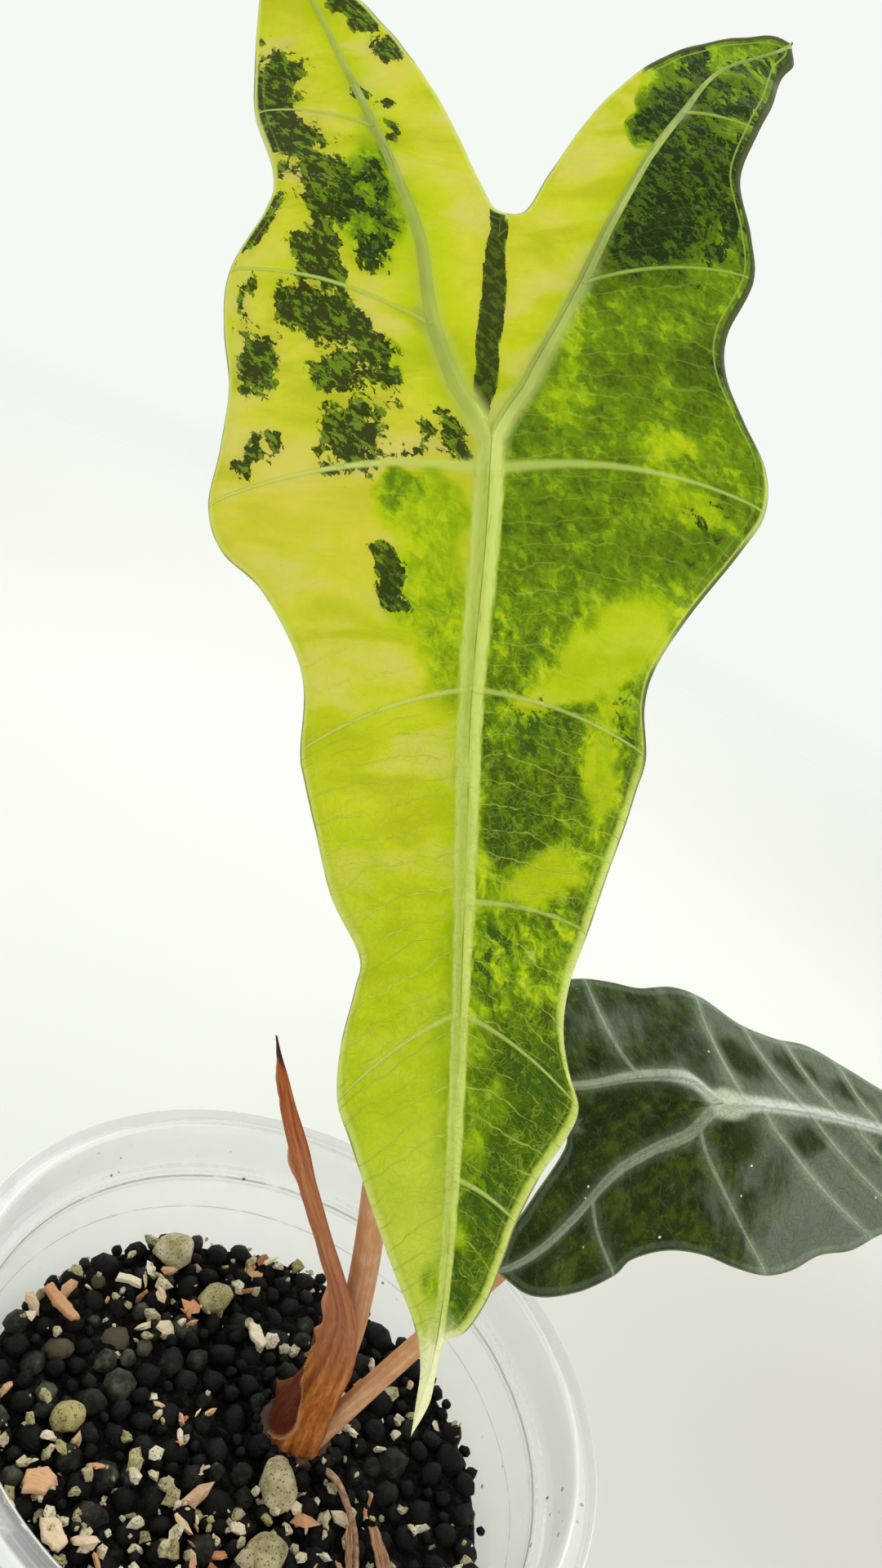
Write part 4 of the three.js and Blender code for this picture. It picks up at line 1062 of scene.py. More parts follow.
# The sheath from its foot to its tip: a place on its middle line, and its curl's radius and half angle
SHEATH_STATIONS = np.array([
    (8.5, 6.5, 52.3, 6.3, 1.7), (8.6, 6.6, 58, 6, 1.5), (9, 7.2, 65, 5, 1.35), (8.8, 8.2, 73, 4.2, 1.3),
    (6.6, 8, 81, 3.5, 1.3), (0.3, 8, 90, 3.5, 1.3), (-9.2, 10, 101, 3.4, 1.3), (-17, 12.3, 110, 2.7, 1.2),
    (-21.8, 14.3, 115.5, 1.05, 1), (-25.2, 16, 119, 0.3, 0.6),
])
SHEATH_FACING = -2.3
SHEATH_HALF = 0.14
FOLD_TOP = 0.27


def petiole(corners, foot, head):
    """A stalk: a cubic curve with a radius that falls evenly, a slight swelling under the blade and a
    shallow groove along its inner side."""
    path = even_run(bezier(corners, np.linspace(0, 1, 400)), 150)
    along = np.linspace(0, 1, len(path))[:, None]
    turn = even_turns(STALK_SIDES)
    radius = foot + (head - foot) * along + 0.1 * np.exp(-((along - 0.97) / 0.03) ** 2)
    groove = 0.05 * np.exp(-(((turn + pi) % (2 * pi) - pi) / 0.35) ** 2)
    ridges = 0.012 * np.cos(turn * 9 + 2 * along)
    return tube(path, radius * (1 - groove + ridges), STALK_SIDES, (0, 1, 0))


def sheath_sheet(sizes, seed):
    """The dry sheath: a sheet curled round a curve. Its angle runs over the curl's half to each side,
    its radius and half angle follow the stations, and lengthwise wrinkles, creases and ragged edges
    are added as sines and noise of the angle and the height. Low on its left a slanting line divides
    an outer layer from an inner one, which lies a step further in."""
    rows, columns = 190, 56
    places = np.linspace(0, len(SHEATH_STATIONS) - 1, rows)
    stations = through_points(SHEATH_STATIONS, places)
    numbers = np.arange(len(SHEATH_STATIONS))
    radius, half = (np.interp(places, numbers, SHEATH_STATIONS[:, column])[:, None] for column in (3, 4))
    across = np.linspace(-1, 1, columns)
    t = (places / places[-1])[:, None]
    rag = np.concatenate([t * 15, t * 0 + seed, t], axis=1)
    open_left = 1 - 0.22 * ease((t - 0.27) / 0.08) * ease((0.93 - t) / 0.1)
    left = half * open_left * (1 + sizes.sheath_rag * lattice_noise(rag, 1, seed))[:, None]
    right = half * (1 + sizes.sheath_rag * lattice_noise(rag + 9, 1, seed + 1))[:, None]
    angle = SHEATH_FACING + np.where(across < 0, left, right) * across
    grain = np.stack([angle * 4, np.broadcast_to(t * 10, angle.shape), angle * 0], axis=2)
    wrinkle = sizes.sheath_wrinkle * (
        0.45 * np.cos(angle * 14 + 2 * np.sin(t * 5))
        + 0.8 * lattice_noise(grain * (1.3, 0.5, 1), 1, seed + 2)
        + 0.6 * lattice_noise(grain * (4.2, 3.0, 1), 1, seed + 3)
    )
    wrinkle = wrinkle * ease(radius / 3)
    curl = 0.07 * radius * np.abs(across) ** 5 * (1 + np.sin(t * 23))
    left_curl = 0.22 * radius * np.abs(across) ** 7 * (1 + np.sin(t * 31 + np.sin(t * 19)))
    curl = curl + np.where(across < 0, left_curl, 0)
    fold_line = 0.95 * np.sin(pi * np.clip((t + 0.06) / (FOLD_TOP + 0.06), 0, 1)) - 0.62
    from_fold = across - fold_line + 0.03 * lattice_noise(rag * 1.3, 1, seed + 4)[:, None]
    below_top = ease((FOLD_TOP + 0.04 - t) / 0.04)
    inner_layer = ease(0.5 - from_fold / 0.05) * below_top
    rolled = np.exp(-((from_fold - 0.04) / 0.035) ** 2) * below_top
    distance = radius + wrinkle + curl - 0.8 * inner_layer + 0.22 * rolled
    out = np.stack([np.cos(angle), np.sin(angle), angle * 0], axis=2)
    middle = stations[:, None, :3] + out * distance[..., None]
    front = (middle + out * SHEATH_HALF).reshape(-1, 3)
    back = (middle - out * SHEATH_HALF).reshape(-1, 3)
    faces = closed_sheet(grid_triangles(counted(rows, columns)), rows * columns)
    length = lengths_along(stations[:, :3])[:, None]
    length = np.broadcast_to(length, angle.shape)
    skin = np.stack([angle * np.maximum(radius, 1.5), angle * 0, length], axis=2)
    fields = {"rise": t, "side": across, "crease": wrinkle, "inner_layer": inner_layer, "rolled": rolled}
    known = {key: np.tile(np.broadcast_to(field, angle.shape).ravel(), 2) for key, field in fields.items()}
    known["skin"] = np.tile(skin.reshape(-1, 3), (2, 1))
    known["back"] = np.repeat([0.0, 1.0], rows * columns)
    return np.concatenate([front, back]), faces, known


# Finishes of the blades

def fine_veins(finish, flat, reach, rib, spacing):
    """The small veins: thin wavy arcs side by side between the lateral veins, and a net of cells
    between them. Hands back the arcs' mask and the net's mask."""
    sway = flat.noise(1.3, 3)
    arcs = abs((reach / spacing + sway * 1.5).fraction() - 0.5)
    arc_mask = arcs.step(0.052, 0.01) * rib.step(1, 2.6)
    arc_mask = arc_mask * flat.noise(1.9, 2).step(0.28, 0.52)
    bent = finish.vector_math("ADD", {
        0: flat, 1: finish.add("ShaderNodeTexNoise", None, {"Vector": flat, "Scale": 2.4}, "Color"),
    })
    net = bent.cells(5.6, "DISTANCE_TO_EDGE")
    net_mask = net.step(0.07, 0.015)
    return arc_mask, net_mask


def random_cells(finish, flat):
    """A random value for each of many small and for each of some larger cells, both slanting like the
    patches, with borders that noise pushes about."""
    pushed = finish.vector_math("MULTIPLY_ADD", {
        0: finish.add("ShaderNodeTexNoise", None, {"Vector": flat, "Scale": 9, "Detail": 3}, "Color"),
        1: (0.13, 0.13, 0), 2: flat.aslant(0.72, 1.5, 0.72, 1),
    })
    # A sum makes a cell's random colour grey, which gives each cell a number of its own
    small = pushed.cells(11, "F1", "Color") + 0
    large = pushed.cells(4.2, "F1", "Color") + 0
    return small, large


def lay_edge(finish, flat, edge, fine, reach, green):
    """The tall blade's edge: a pale band, wider on the green and at the yellow foot, and painted shade
    along the edge and where the edge rolls back. Hands back the mask of the roll, where shade is painted."""
    band = edge.step(0.95, 0.5) * 0.7
    wide_band = (edge + (fine - 0.5) * 0.7).step(1.5, 1)
    wide_band = wide_band * reach.step(28, 48) * green * 0.85
    band_colour = finish.ramp(
        edge / 1.6 + (fine - 0.5) * 0.2,
        (0, paint(236, 240, 170)), (0.4, paint(226, 234, 120)), (0.8, paint(172, 190, 70)),
    )
    foot_band = edge.step(1.5, 0.9) * reach.step(44, 72) * (1 - green) * 0.92
    finish.lay(band.most(wide_band).most(foot_band), band_colour)
    # Painted shade: a broken dark line along the very edge, the underside where the edge rolls back at the
    # lobes, and the outer edge of the green higher up
    shade_line = edge.step(0.3, 0.12) * flat.noise(0.5).step(0.44, 0.54) * 0.7
    rolled = (edge + (fine - 0.5) * 0.4).step(1.15, 0.8) * green
    rolled = rolled * reach.step(-2, -7)
    outer = edge.step(0.62, 0.34) * green
    outer = outer * reach.step(6, 12) * reach.step(42, 34)
    finish.lay(shade_line.most(rolled * 0.92).most(outer * 0.85), paint(44, 50, 18))
    return rolled


def lay_ribs(finish, colours, flat, rib, fine, broad, reach):
    """The tall blade's ribs: cream with fine streaks, greyer down the lobes, split by a few dark
    lines, on a pale halo and with a pale knot where they meet."""
    streak = flat.stretch(3, 0.5, 1).noise(6, 2)
    # The pale zone along the midrib is wider than its ridge, and that along the basal ribs is not
    across_rib = rib / (1.15 + reach.step(-3, 6) * 0.7)
    grooved = (streak - 0.5) * reach.step(-5, 2)
    rib_mask = (across_rib + grooved * 0.3 + (fine - 0.5) * 0.12).step(1.1, 0.84)
    rib_colour = finish.ramp(
        across_rib + grooved * 0.8,
        (0, paint(190, 204, 90)), (0.3, colours.vein), (0.7, paint(224, 234, 132)),
        (1, paint(186, 206, 72)),
    )
    grey_rib = reach.step(3, -16) * (0.5 + broad.step(0.4, 0.6) * 0.3)
    rib_colour = finish.blend(grey_rib, rib_colour, paint(146, 162, 98))
    split = flat.stretch(9, 0.4, 1).noise(3, 2).step(0.6, 0.68)
    split = split * rib.step(0.9, 0.3)
    split = split * reach.step(1, 4) * reach.step(36, 22)
    rib_colour = finish.blend(split * 0.6, rib_colour, paint(116, 130, 50))
    # The basal ribs spread softly into the blade, most of all where they meet
    halo = rib.step(2.7, 1) * reach.step(8, 1) * reach.step(-44, -4)
    finish.lay(halo * 0.62, paint(204, 213, 116))
    finish.lay(rib_mask * 0.95, rib_colour)
    knot = (rib + (streak - 0.5) * 0.8).step(2, 0.8) * abs(reach - 0.5).step(7, 0.5)
    finish.lay(knot * 0.6, paint(222, 230, 142))


def tall_blade_finish(colours):
    """A variegated leaf: ground tones through a ramp, ragged patches of dark green with light flecks and
    painted grey glints, bars of painted shade and of pink that is partly painted highlight across the
    yellow ground, pale veins, a pale edge with painted shade where it rolls back, a cream tip, and light
    that comes through it."""
    finish = Finish("variegated_blade")
    flat = finish.attribute("flat", "Vector")
    rib, vein, edge = finish.attributes("rib", "vein", "edge")
    tone, dark, back = finish.attributes("tone", "dark", "back")
    reach = finish.attribute("reach")
    green = tone.step(0.2, 0.6)
    yellow = 1 - green
    strokes = flat.stretch(1.3, 0.75, 1).noise(3.4, 5, 0.72, 0.6)
    ragged = strokes.step(0.3, 0.7)
    fine = flat.noise(9, 3, 0.6)
    broad = flat.noise(0.9, 2)
    cell, large_cell = random_cells(finish, flat)
    low_part = reach.step(10, 60)
    striped = reach.step(16, 34) * reach.step(86, 72)
    patchy = 0.02 + green * (0.26 - reach.step(76, 90) * 0.12)
    ground = tone + (ragged - 0.5) * (0.07 + green * (0.2 + striped * 0.3))
    ground = ground + (cell + large_cell - 1) * patchy
    ground = ground + (broad - 0.5) * 0.2 + rib.step(8, 1.5) * yellow * 0.14
    finish.colour = finish.ramp(
        ground,
        (0, colours.leaf_gold), (0.12, colours.leaf_yellow), (0.3, colours.leaf_lime_yellow),
        (0.44, colours.leaf_lime), (0.64, colours.leaf_green), (1, colours.leaf_deep_green),
    )
    # The yellow ground has soft bars across it, painted light of its quilting: painted olive shade in the
    # hollows, and warm, faintly pink swells that are partly the leaf's own tint and partly painted
    # highlight
    bars = flat.stretch(0.42, 1, 1).noise(1.55, 3, 0.5, 0.5)
    olive = bars.step(0.52, 0.34) * yellow
    finish.lay(olive * 0.62, colours.leaf_fold_shade)
    clouds = flat.stretch(0.6, 0.8, 1).noise(1, 3)
    # The yellow ground is warmer beside the joint than above and below
    warm = abs(reach - 10).step(18, 6) * tone.step(0.3, 0.08)
    finish.lay(warm * (0.2 + clouds * 0.4), paint(232, 206, 84))
    blush_and_highlight = (bars * 0.55 + clouds * 0.45).step(0.48, 0.62) * tone.step(0.34, 0.12)
    finish.lay(blush_and_highlight * 0.7, colours.leaf_blush_and_highlight)
    broken = dark + (ragged - 0.5) * 0.5 + (cell - 0.5) * 0.5 + (large_cell - 0.5) * 0.62
    patch = broken.step(0.46, 0.52) * dark.step(0, 0.14)
    finish.lay(reach.step(80, 112) * yellow * 0.55, paint(226, 230, 110))
    mixed = flat.aslant(0.72, 1.7, 0.7, 1).noise(6, 4, 0.72)
    fleck = (mixed + (cell - 0.5) * 0.25).step(0.52, 0.58)
    # Painted highlights: faint grey glints inside the dark patches
    painted_glint = flat.noise(6, 4, 0.7).step(0.58, 0.7)
    fleck_colour = finish.blend(green, paint(112, 142, 20), paint(76, 104, 10))
    deep_green = finish.blend(reach.step(24, 36), colours.leaf_dark, paint(50, 82, 4))
    solid = dark.step(1, 1.09)
    dark_colour = finish.blend(fleck * (0.75 - solid * 0.5), deep_green, fleck_colour)
    dark_colour = finish.blend(painted_glint * 0.4, dark_colour, paint(124, 142, 104))
    finish.lay(patch * 0.97, dark_colour)
    arcs, net = fine_veins(finish, flat, reach, rib, 3.3)
    shown = (0.08 + green * 0.12 + low_part * (0.7 - green * 0.34)) * (1 - patch * 0.75)
    finish.lay((arcs * shown).most(net * shown * (0.3 + green * 0.1)), colours.leaf_net)
    # Grey green corners where the lobes' side veins leave their ribs
    corner = rib.step(3.4, 1.2) * vein.step(7, 1.2) * reach.step(-2, -12)
    finish.lay(corner * 0.55, paint(134, 146, 110))
    lateral = vein.step(1.25, 0.3)
    margin_vein = abs(edge - 1.8).step(0.22, 0.06)
    margin_vein = margin_vein * (0.14 + green * 0.45 * reach.step(0, -8))
    greener = green * 0.4 + reach.step(0, -20) * 0.4
    lateral_colour = finish.blend(greener, colours.vein, paint(156, 180, 70))
    finish.lay((lateral * 0.8).most(margin_vein), lateral_colour)
    rolled = lay_edge(finish, flat, edge, fine, reach, green)
    lay_ribs(finish, colours, flat, rib, fine, broad, reach)
    cream = (reach + (ragged - 0.5) * 3).step(116, 124)
    finish.lay(cream * 0.92, paint(255, 250, 205))
    finish.lay(back * 0.28, paint(176, 192, 120))
    height = lateral * 0.5 + (arcs * 0.3 + net * 0.12) * (0.2 + low_part)
    height = height + fine * 0.2 + bars * yellow * 3
    share = (0.4 - patch * 0.34 - green * 0.18 - rolled * 0.2 - cream * 0.22).most(0.03)
    glow = (share, colours.leaf_glow)
    return finish.surface(0.38 + fine * 0.18, height, 0.0003, glow, Specular_IOR_Level=0.09)


def low_blade_finish(colours):
    """A dark velvety leaf: deep green with a fine mottle, a painted grey sheen standing for a reflection
    towards its tip, painted shade in the hollows between the veins, grey-green veins, a pale edge and a
    few white specks."""
    finish = Finish("dark_blade")
    flat = finish.attribute("flat", "Vector")
    rib, vein, edge = finish.attributes("rib", "vein", "edge")
    hollow, back, bloom, joint = finish.attributes("hollow", "back", "bloom", "joint")
    mottle = flat.noise(5, 5, 0.7)
    fleck = flat.noise(8, 3, 0.7).step(0.56, 0.68)
    broad = flat.noise(1.3, 4, 0.65)
    finish.colour = finish.ramp(
        mottle * 0.45 + broad * 0.55,
        (0.38, colours.velvet_dark), (0.5, colours.velvet), (0.6, paint(66, 82, 14)),
    )
    finish.lay(fleck * 0.6 * broad.step(0.36, 0.6), colours.velvet_light)
    # The grey sheen laid below is a painted reflection of the light; its mask, shade, also makes the
    # veins, ribs and edge paler where it lies
    cloud = flat.stretch(1, 1.5, 1).noise(0.9, 4, 0.6)
    wisp = flat.stretch(0.5, 1.8, 1).noise(3, 3, 0.6)
    shade = (bloom + (cloud - 0.5) * 1.8 + (wisp - 0.5) * 0.6).step(0.05, 1)
    finish.lay(shade * 0.85, colours.velvet_sheen)
    # Painted shade: in the hollows between the veins the painted sheen gives way to plain dark green
    deep = (hollow + (cloud - 0.5) * 1.5 + (wisp - 0.5) * 0.8).step(0.15, 1)
    finish.lay(deep * 0.95, colours.velvet)
    arcs, net = fine_veins(finish, flat, finish.attribute("reach"), rib, 4.1)
    finish.lay(arcs * 0.06 + net * 0.05, colours.velvet_vein)
    near_vein = vein.step(6, 0.6) * (0.14 + shade * 0.3)
    near_rib = (rib + (wisp - 0.5) * 2).step(4.6, 1.2) * (0.15 + shade * 0.35)
    finish.lay(near_vein.most(near_rib), colours.velvet_vein)
    streak = flat.stretch(3, 0.6, 1).noise(5, 2)
    lateral = vein.step(1.45, 0.5)
    rib_mask = (rib + (streak - 0.5) * 0.5).step(1.9, 1.1)
    rib_shown = rib_mask * (0.6 + bloom.step(0, 0.4) * 0.35)
    finish.lay((lateral * (0.45 + shade * 0.3)).most(rib_shown), colours.velvet_vein)
    white_rib = (rib + (streak - 0.5) * 0.5).step(2.9, 1) * bloom.step(0.1, 0.45)
    finish.lay(white_rib * 0.8, paint(220, 224, 212))
    pale_joint = (joint + (broad - 0.5) * 0.3).step(0.35, 0.7)
    finish.lay(pale_joint * 0.85, paint(200, 206, 180))
    band = abs(edge - 1.1).step(0.9, 0.2)
    finish.lay(band * (0.16 + shade * 0.3), paint(150, 160, 142))
    finish.lay(edge.step(0.4, 0.15) * 0.6, paint(140, 150, 112))
    speck = flat.cells(1.9)
    speck_mask = speck.step(0.06, 0.035) * flat.noise(1).step(0.44, 0.5)
    finish.lay(speck_mask, paint(240, 244, 236))
    finish.lay(back * 0.5, paint(112, 128, 88))
    height = lateral * 0.5 + arcs * 0.4 + net * 0.3 + mottle * 0.3 + speck_mask
    glow = (0.08 + mottle * 0.06, paint(96, 132, 30))
    return finish.surface(0.42 + mottle * 0.15, height, 0.0003, glow, Specular_IOR_Level=0.05)


# Finishes of the stalks, the sheath and the roots

def stalk_finish(colours):
    """A fleshy stalk, tan with pink: faint long streaks and small darker marks."""
    finish = Finish("stalk")
    skin = finish.attribute("skin", "Vector")
    streak = skin.stretch(1.6, 1.6, 0.06).noise(1, 4, 0.6)
    mark = skin.stretch(0.7, 0.7, 0.3).noise(1, 3, 0.6)
    finish.colour = finish.ramp(
        streak * 0.45 + mark * 0.55,
        (0.3, paint(206, 150, 108)), (0.48, colours.stalk), (0.62, paint(236, 194, 156)),
        (0.76, paint(224, 206, 150)),
    )
    finish.lay(mark.step(0.62, 0.74) * 0.3, paint(150, 100, 76))
    glow = (0.24, paint(226, 172, 118))
    return finish.surface(0.42 + mark * 0.15, streak, 0.0001, glow, Specular_IOR_Level=0.25)


def sheath_finish(colours):
    """A dry papery sheath: orange tan with long fibres, pinkish and pale in its upper half, painted shade
    in the creases and painted light on the wrinkles' ridges, dark red brown on its inner faces, with a
    pale rolled edge, a black tip and a painted shadow at its foot."""
    finish = Finish("dry_sheath")
    skin = finish.attribute("skin", "Vector")
    rise, side, back = finish.attributes("rise", "side", "back")
    crease, inner_layer, rolled = finish.attributes("crease", "inner_layer", "rolled")
    fibre = skin.stretch(2.4, 1, 0.2).noise(1, 5, 0.65)
    patch = skin.stretch(0.4, 1, 0.16).noise(1, 3, 0.6)
    crumple = skin.stretch(1.3, 1, 0.8).noise(1, 4, 0.65)
    # The wrinkles' depth shifts the ramp: painted shade in the creases and painted light on the ridges
    finish.colour = finish.ramp(
        fibre * 0.35 + patch * 0.35 + crumple * 0.3 + crease * 0.4,
        (0.25, paint(112, 58, 34)), (0.4, colours.sheath_red), (0.52, colours.sheath),
        (0.64, paint(230, 152, 80)), (0.76, paint(246, 198, 140)),
    )
    pale = rise.step(0.22, 0.42) * rise.step(0.86, 0.6)
    finish.lay(pale * (0.35 + crumple * 0.5), colours.sheath_pale)
    finish.lay(rise.step(0.6, 0.8) * 0.45, paint(176, 92, 66))
    left_rim = side.step(-0.86, -0.97)
    finish.lay(left_rim.most(rolled) * 0.6, paint(240, 184, 140))
    finish.lay(side.step(0.86, 1) * 0.5, paint(120, 66, 46))
    finish.lay((back * 0.7).most(inner_layer * 0.9), colours.sheath_inside)
    finish.lay((rise + (fibre - 0.5) * 0.06).step(0.87, 0.92), paint(26, 18, 17))
    # Painted shadow at the foot, where the sheath goes into the fill
    finish.lay(rise.step(0.06, 0) * 0.5, paint(84, 44, 26))
    height = fibre * 0.4 + crumple * 0.7
    glow = (0.32 - back.most(inner_layer) * 0.14, paint(236, 138, 70))
    return finish.surface(0.4 + patch * 0.2, height, 0.0007, glow, Specular_IOR_Level=0.35)


def root_finish(name, colour_middle, colour_light):
    """A root's or stem's skin with rings, scales and painted shade in its grooves."""
    finish = Finish(name)
    place = finish.place()
    rings = place.stretch(300, 300, 1400).noise(1, 3)
    scale = place.noise(900, 4, 0.65)
    # The ramp follows the noise of the bump: painted shade in the grooves
    finish.colour = finish.ramp(
        rings * 0.5 + scale * 0.5,
        (0.32, paint(54, 34, 24)), (0.5, colour_middle), (0.66, colour_light),
    )
    return finish.surface(0.7 + scale * 0.2, rings * 0.6 + scale * 0.4, 0.0004)


def strip_finish(colours):
    """A dry brown strip of old sheath with long fibres."""
    finish = Finish("dry_strip")
    skin = finish.attribute("skin", "Vector")
    fibre = skin.stretch(4.5, 1, 0.25).noise(1, 4, 0.6)
    finish.colour = finish.ramp(
        fibre,
        (0.3, paint(92, 58, 38)), (0.5, colours.strip), (0.68, paint(206, 164, 122)),
    )
    return finish.surface(0.62 + fibre * 0.2, fibre, 0.0003)


# Finishes of the fill and the cup

def pellet_finish(colours):
    """A charred clay pellet: near black, some brown, some grey green that is partly their own tone and
    partly a painted highlight, and finely pitted.
    """
    finish = Finish("dark_pellet")
    place = finish.place()
    tint = finish.attribute("tint")
    # Noise that shares out the grey green painted highlight, and also shapes the bump and roughness
    bloom = place.noise(420, 4, 0.65)
    pit = place.noise(2600, 3, 0.6)
    finish.colour = finish.ramp(
        bloom * 0.55 + tint * 0.45,
        (0.42, colours.pellet), (0.56, paint(16, 15, 13)), (0.67, paint(44, 45, 37)),
        (0.77, colours.pellet_sheen),
    )
    finish.lay(tint.step(1.02, 1.03) * 0.7, paint(84, 72, 52))
    dust = pit.step(0.62, 0.74) * tint.step(0.2, 0.9) * 0.3
    finish.lay(dust, paint(112, 112, 98))
    height = pit * 0.7 + bloom * 0.6
    return finish.surface(0.4 + bloom * 0.3, height, 0.0004, Specular_IOR_Level=0.15)


def core_finish(colours):
    """The dark fines between the pellets."""
    finish = Finish("dark_fines")
    place = finish.place()
    grain = place.cells(700)
    fine = place.noise(1800, 3)
    finish.colour = finish.ramp(
        grain * 0.6 + fine * 0.5,
        (0.2, paint(6, 5, 5)), (0.6, colours.pellet), (0.9, paint(42, 37, 30)),
    )
    return finish.surface(0.85 + fine * 0.1, 1 - grain, 0.0009, Specular_IOR_Level=0.1)


def pumice_finish(colours):
    """A pale stone: cream and olive grey, yellower where its tint is low, with stains and painted shade in
    its pores.
    """
    finish = Finish("pumice")
    place = finish.place()
    tint = finish.attribute("tint")
    stain = place.noise(330, 4, 0.65)
    pore = place.cells(1700)
    fine = place.noise(3800, 3)
    finish.colour = finish.ramp(
        stain * 0.65 + tint * 0.35,
        (0.3, paint(118, 106, 70)), (0.46, colours.pumice), (0.62, paint(206, 194, 162)),
        (0.8, paint(238, 230, 210)),
    )
    yellow = tint.step(0.5, 0.3) * stain.step(0.36, 0.6)
    finish.lay(yellow * 0.6, paint(178, 170, 88))
    # Painted shade in the pores
    hole = pore.step(0.3, 0.12)
    finish.lay(hole * 0.6, paint(70, 60, 46))
    return finish.surface(0.78 + fine * 0.15, fine * 0.4 - hole * 0.8 + stain * 0.5, 0.0005)


def bark_finish(colours):
    """Chips of bark and wood: orange to cream, with a grain."""
    finish = Finish("bark_chip")
    place = finish.place()
    tint = finish.attribute("tint")
    grain = place.stretch(700, 2600, 2600).noise(1, 4, 0.6)
    stain = place.noise(500, 3)
    finish.colour = finish.ramp(
        tint * 0.6 + grain * 0.25 + stain * 0.15,
        (0.22, paint(128, 74, 50)), (0.4, colours.bark), (0.58, paint(222, 178, 136)),
        (0.76, paint(238, 222, 194)),
    )
    finish.lay(grain.step(0.6, 0.72) * 0.35, paint(110, 66, 44))
    return finish.surface(0.6 + grain * 0.25, grain, 0.0004)


# Heights and radii, in metres, of the painted dark lines and painted highlights that show in the cup's
# wall and on its rim
BEND_LINE = 0.0552
SHINE_LINE = 0.0619
LEDGE_LINE = 0.0628
GLEAM_LINE = 0.0637
RIM_INNER = 0.0547
RIM_MIDDLE = 0.0566
RIM_OUTER = 0.0585


def plastic_finish(colours):
    """Thin clear plastic: faint flow marks, specks of dirt, more milky where it is seen edge on and at
    the thick rim, with painted dark lines where the wall bends, painted white highlights along the rim and
    over the ledge, and painted dark reflections on the rim."""
    finish = Finish("clear_plastic")
    place = finish.place()
    facing = finish.add("ShaderNodeLayerWeight", None, {"Blend": 0.35}, "Facing")
    x, y, height = (place.part(axis) for axis in "XYZ")
    level = finish.vector_math("MULTIPLY", {0: place, 1: (1, 1, 0)})
    radius = finish.vector_math("LENGTH", {0: level}, "Value")
    inner_face = (radius - height * WALL_TAPER).step(0.0438, 0.0434)
    flow = place.stretch(24, 24, 90).noise(1, 3)
    grime = place.noise(40)
    dirt = place.cells(260).step(0.13, 0.07) * grime.step(0.53, 0.6)
    smear = place.noise(130, 4, 0.65)
    wobble = (grime - 0.5) * 0.0008
    # Painted shade: broken dark lines on the inner face where the wall bends at the ledge and lower down
    ledge = abs(height - LEDGE_LINE + wobble).step(0.00045, 0.00012) * smear.step(0.25, 0.5)
    bend = abs(height - BEND_LINE + wobble).step(0.00028, 0.00008) * smear.step(0.3, 0.5)
    line = ledge.most(bend * 0.7) * inner_face
    rim = height.step(0.0715, 0.0742)
    # Painted highlights along the rim's outer and inner edges, and a painted dark reflection between
    # them on the front left side
    outer_edge = abs(radius - RIM_OUTER).step(0.0006, 0.0002) * height.step(0.070, 0.072)
    inner_edge = abs(radius - RIM_INNER + wobble).step(0.00035, 0.0001)
    inner_edge = inner_edge * height.step(0.0725, 0.074)
    # A broken painted white highlight lies over the ledge
    gleam = abs(height - GLEAM_LINE + wobble * 0.6).step(0.0003, 0.0001) * smear.step(0.36, 0.6)
    bright = outer_edge.most(inner_edge).most(gleam * 0.85)
    shaded = (x + y + (grime - 0.5) * 0.03).step(-0.045, -0.062)
    between = abs(radius - RIM_MIDDLE).step(0.0009, 0.0003) * height.step(0.0705, 0.073)
    between = between * shaded * smear.step(0.3, 0.55)
    collar = height.step(0.0625, 0.064) * height.step(0.0735, 0.071)
    # A painted highlight: a thin, more opaque white line on the inner face
    shine = abs(height - SHINE_LINE + wobble).step(0.0005, 0.0001) * inner_face
    finish.colour = finish.blend(line, colours.plastic, paint(136, 138, 134))
    finish.lay(collar * 0.5, paint(188, 184, 188))
    finish.lay(between * 0.85, paint(92, 96, 102))
    finish.lay(bright * 0.9, paint(255, 255, 255))
    finish.lay(dirt * 0.9, paint(74, 60, 46))
    alpha = 0.07 + facing ** 2.2 * 0.56 + rim * 0.1 + bright * 0.55 + between * 0.45
    alpha = alpha + collar * 0.06 + line * 0.45 + shine * 0.3 + (smear - 0.5) * 0.08 + dirt * 0.75
    gloss = 0.06 + smear * 0.12
    return finish.surface(gloss, flow, 0.0006, Alpha=alpha, Specular_IOR_Level=0.7)


def floor_finish(colours, radius):
    """A pale floor with a painted soft shadow beside the plant, that fades out towards its edge."""
    finish = Finish("pale_floor")
    place = finish.place()
    grain = place.noise(30, 3)
    finish.colour = finish.blend(grain * 0.1, colours.floor, paint(214, 214, 210))
    # Painted shadow: a soft grey patch on the floor to the right of the cup
    aside = finish.vector_math("DISTANCE", {0: place, 1: (0.2, 0.12, 0)}, "Value")
    finish.lay(aside.step(0.27, 0.02) * 0.54, paint(172, 160, 156))
    distance = finish.vector_math("LENGTH", {0: place}, "Value")
    alpha = (distance / radius).step(0.92, 0.25)
    return finish.surface(0.75 + grain * 0.1, None, 0, Alpha=alpha)


# Settings

def colour_setting(name, description, *screen):
    """One colour that a user can change, from its red, green and blue on a screen."""
    return bpy.props.FloatVectorProperty(
        name=name, description=description, subtype="COLOR", size=3, min=0.0, max=1.0,
        default=paint(*screen),
    )


def size_setting(name, description, default, least, most, **more):
    """One size or count that a user can change."""
    kind = bpy.props.IntProperty if isinstance(default, int) else bpy.props.FloatProperty
    return kind(name=name, description=description, default=default, min=least, max=most, **more)


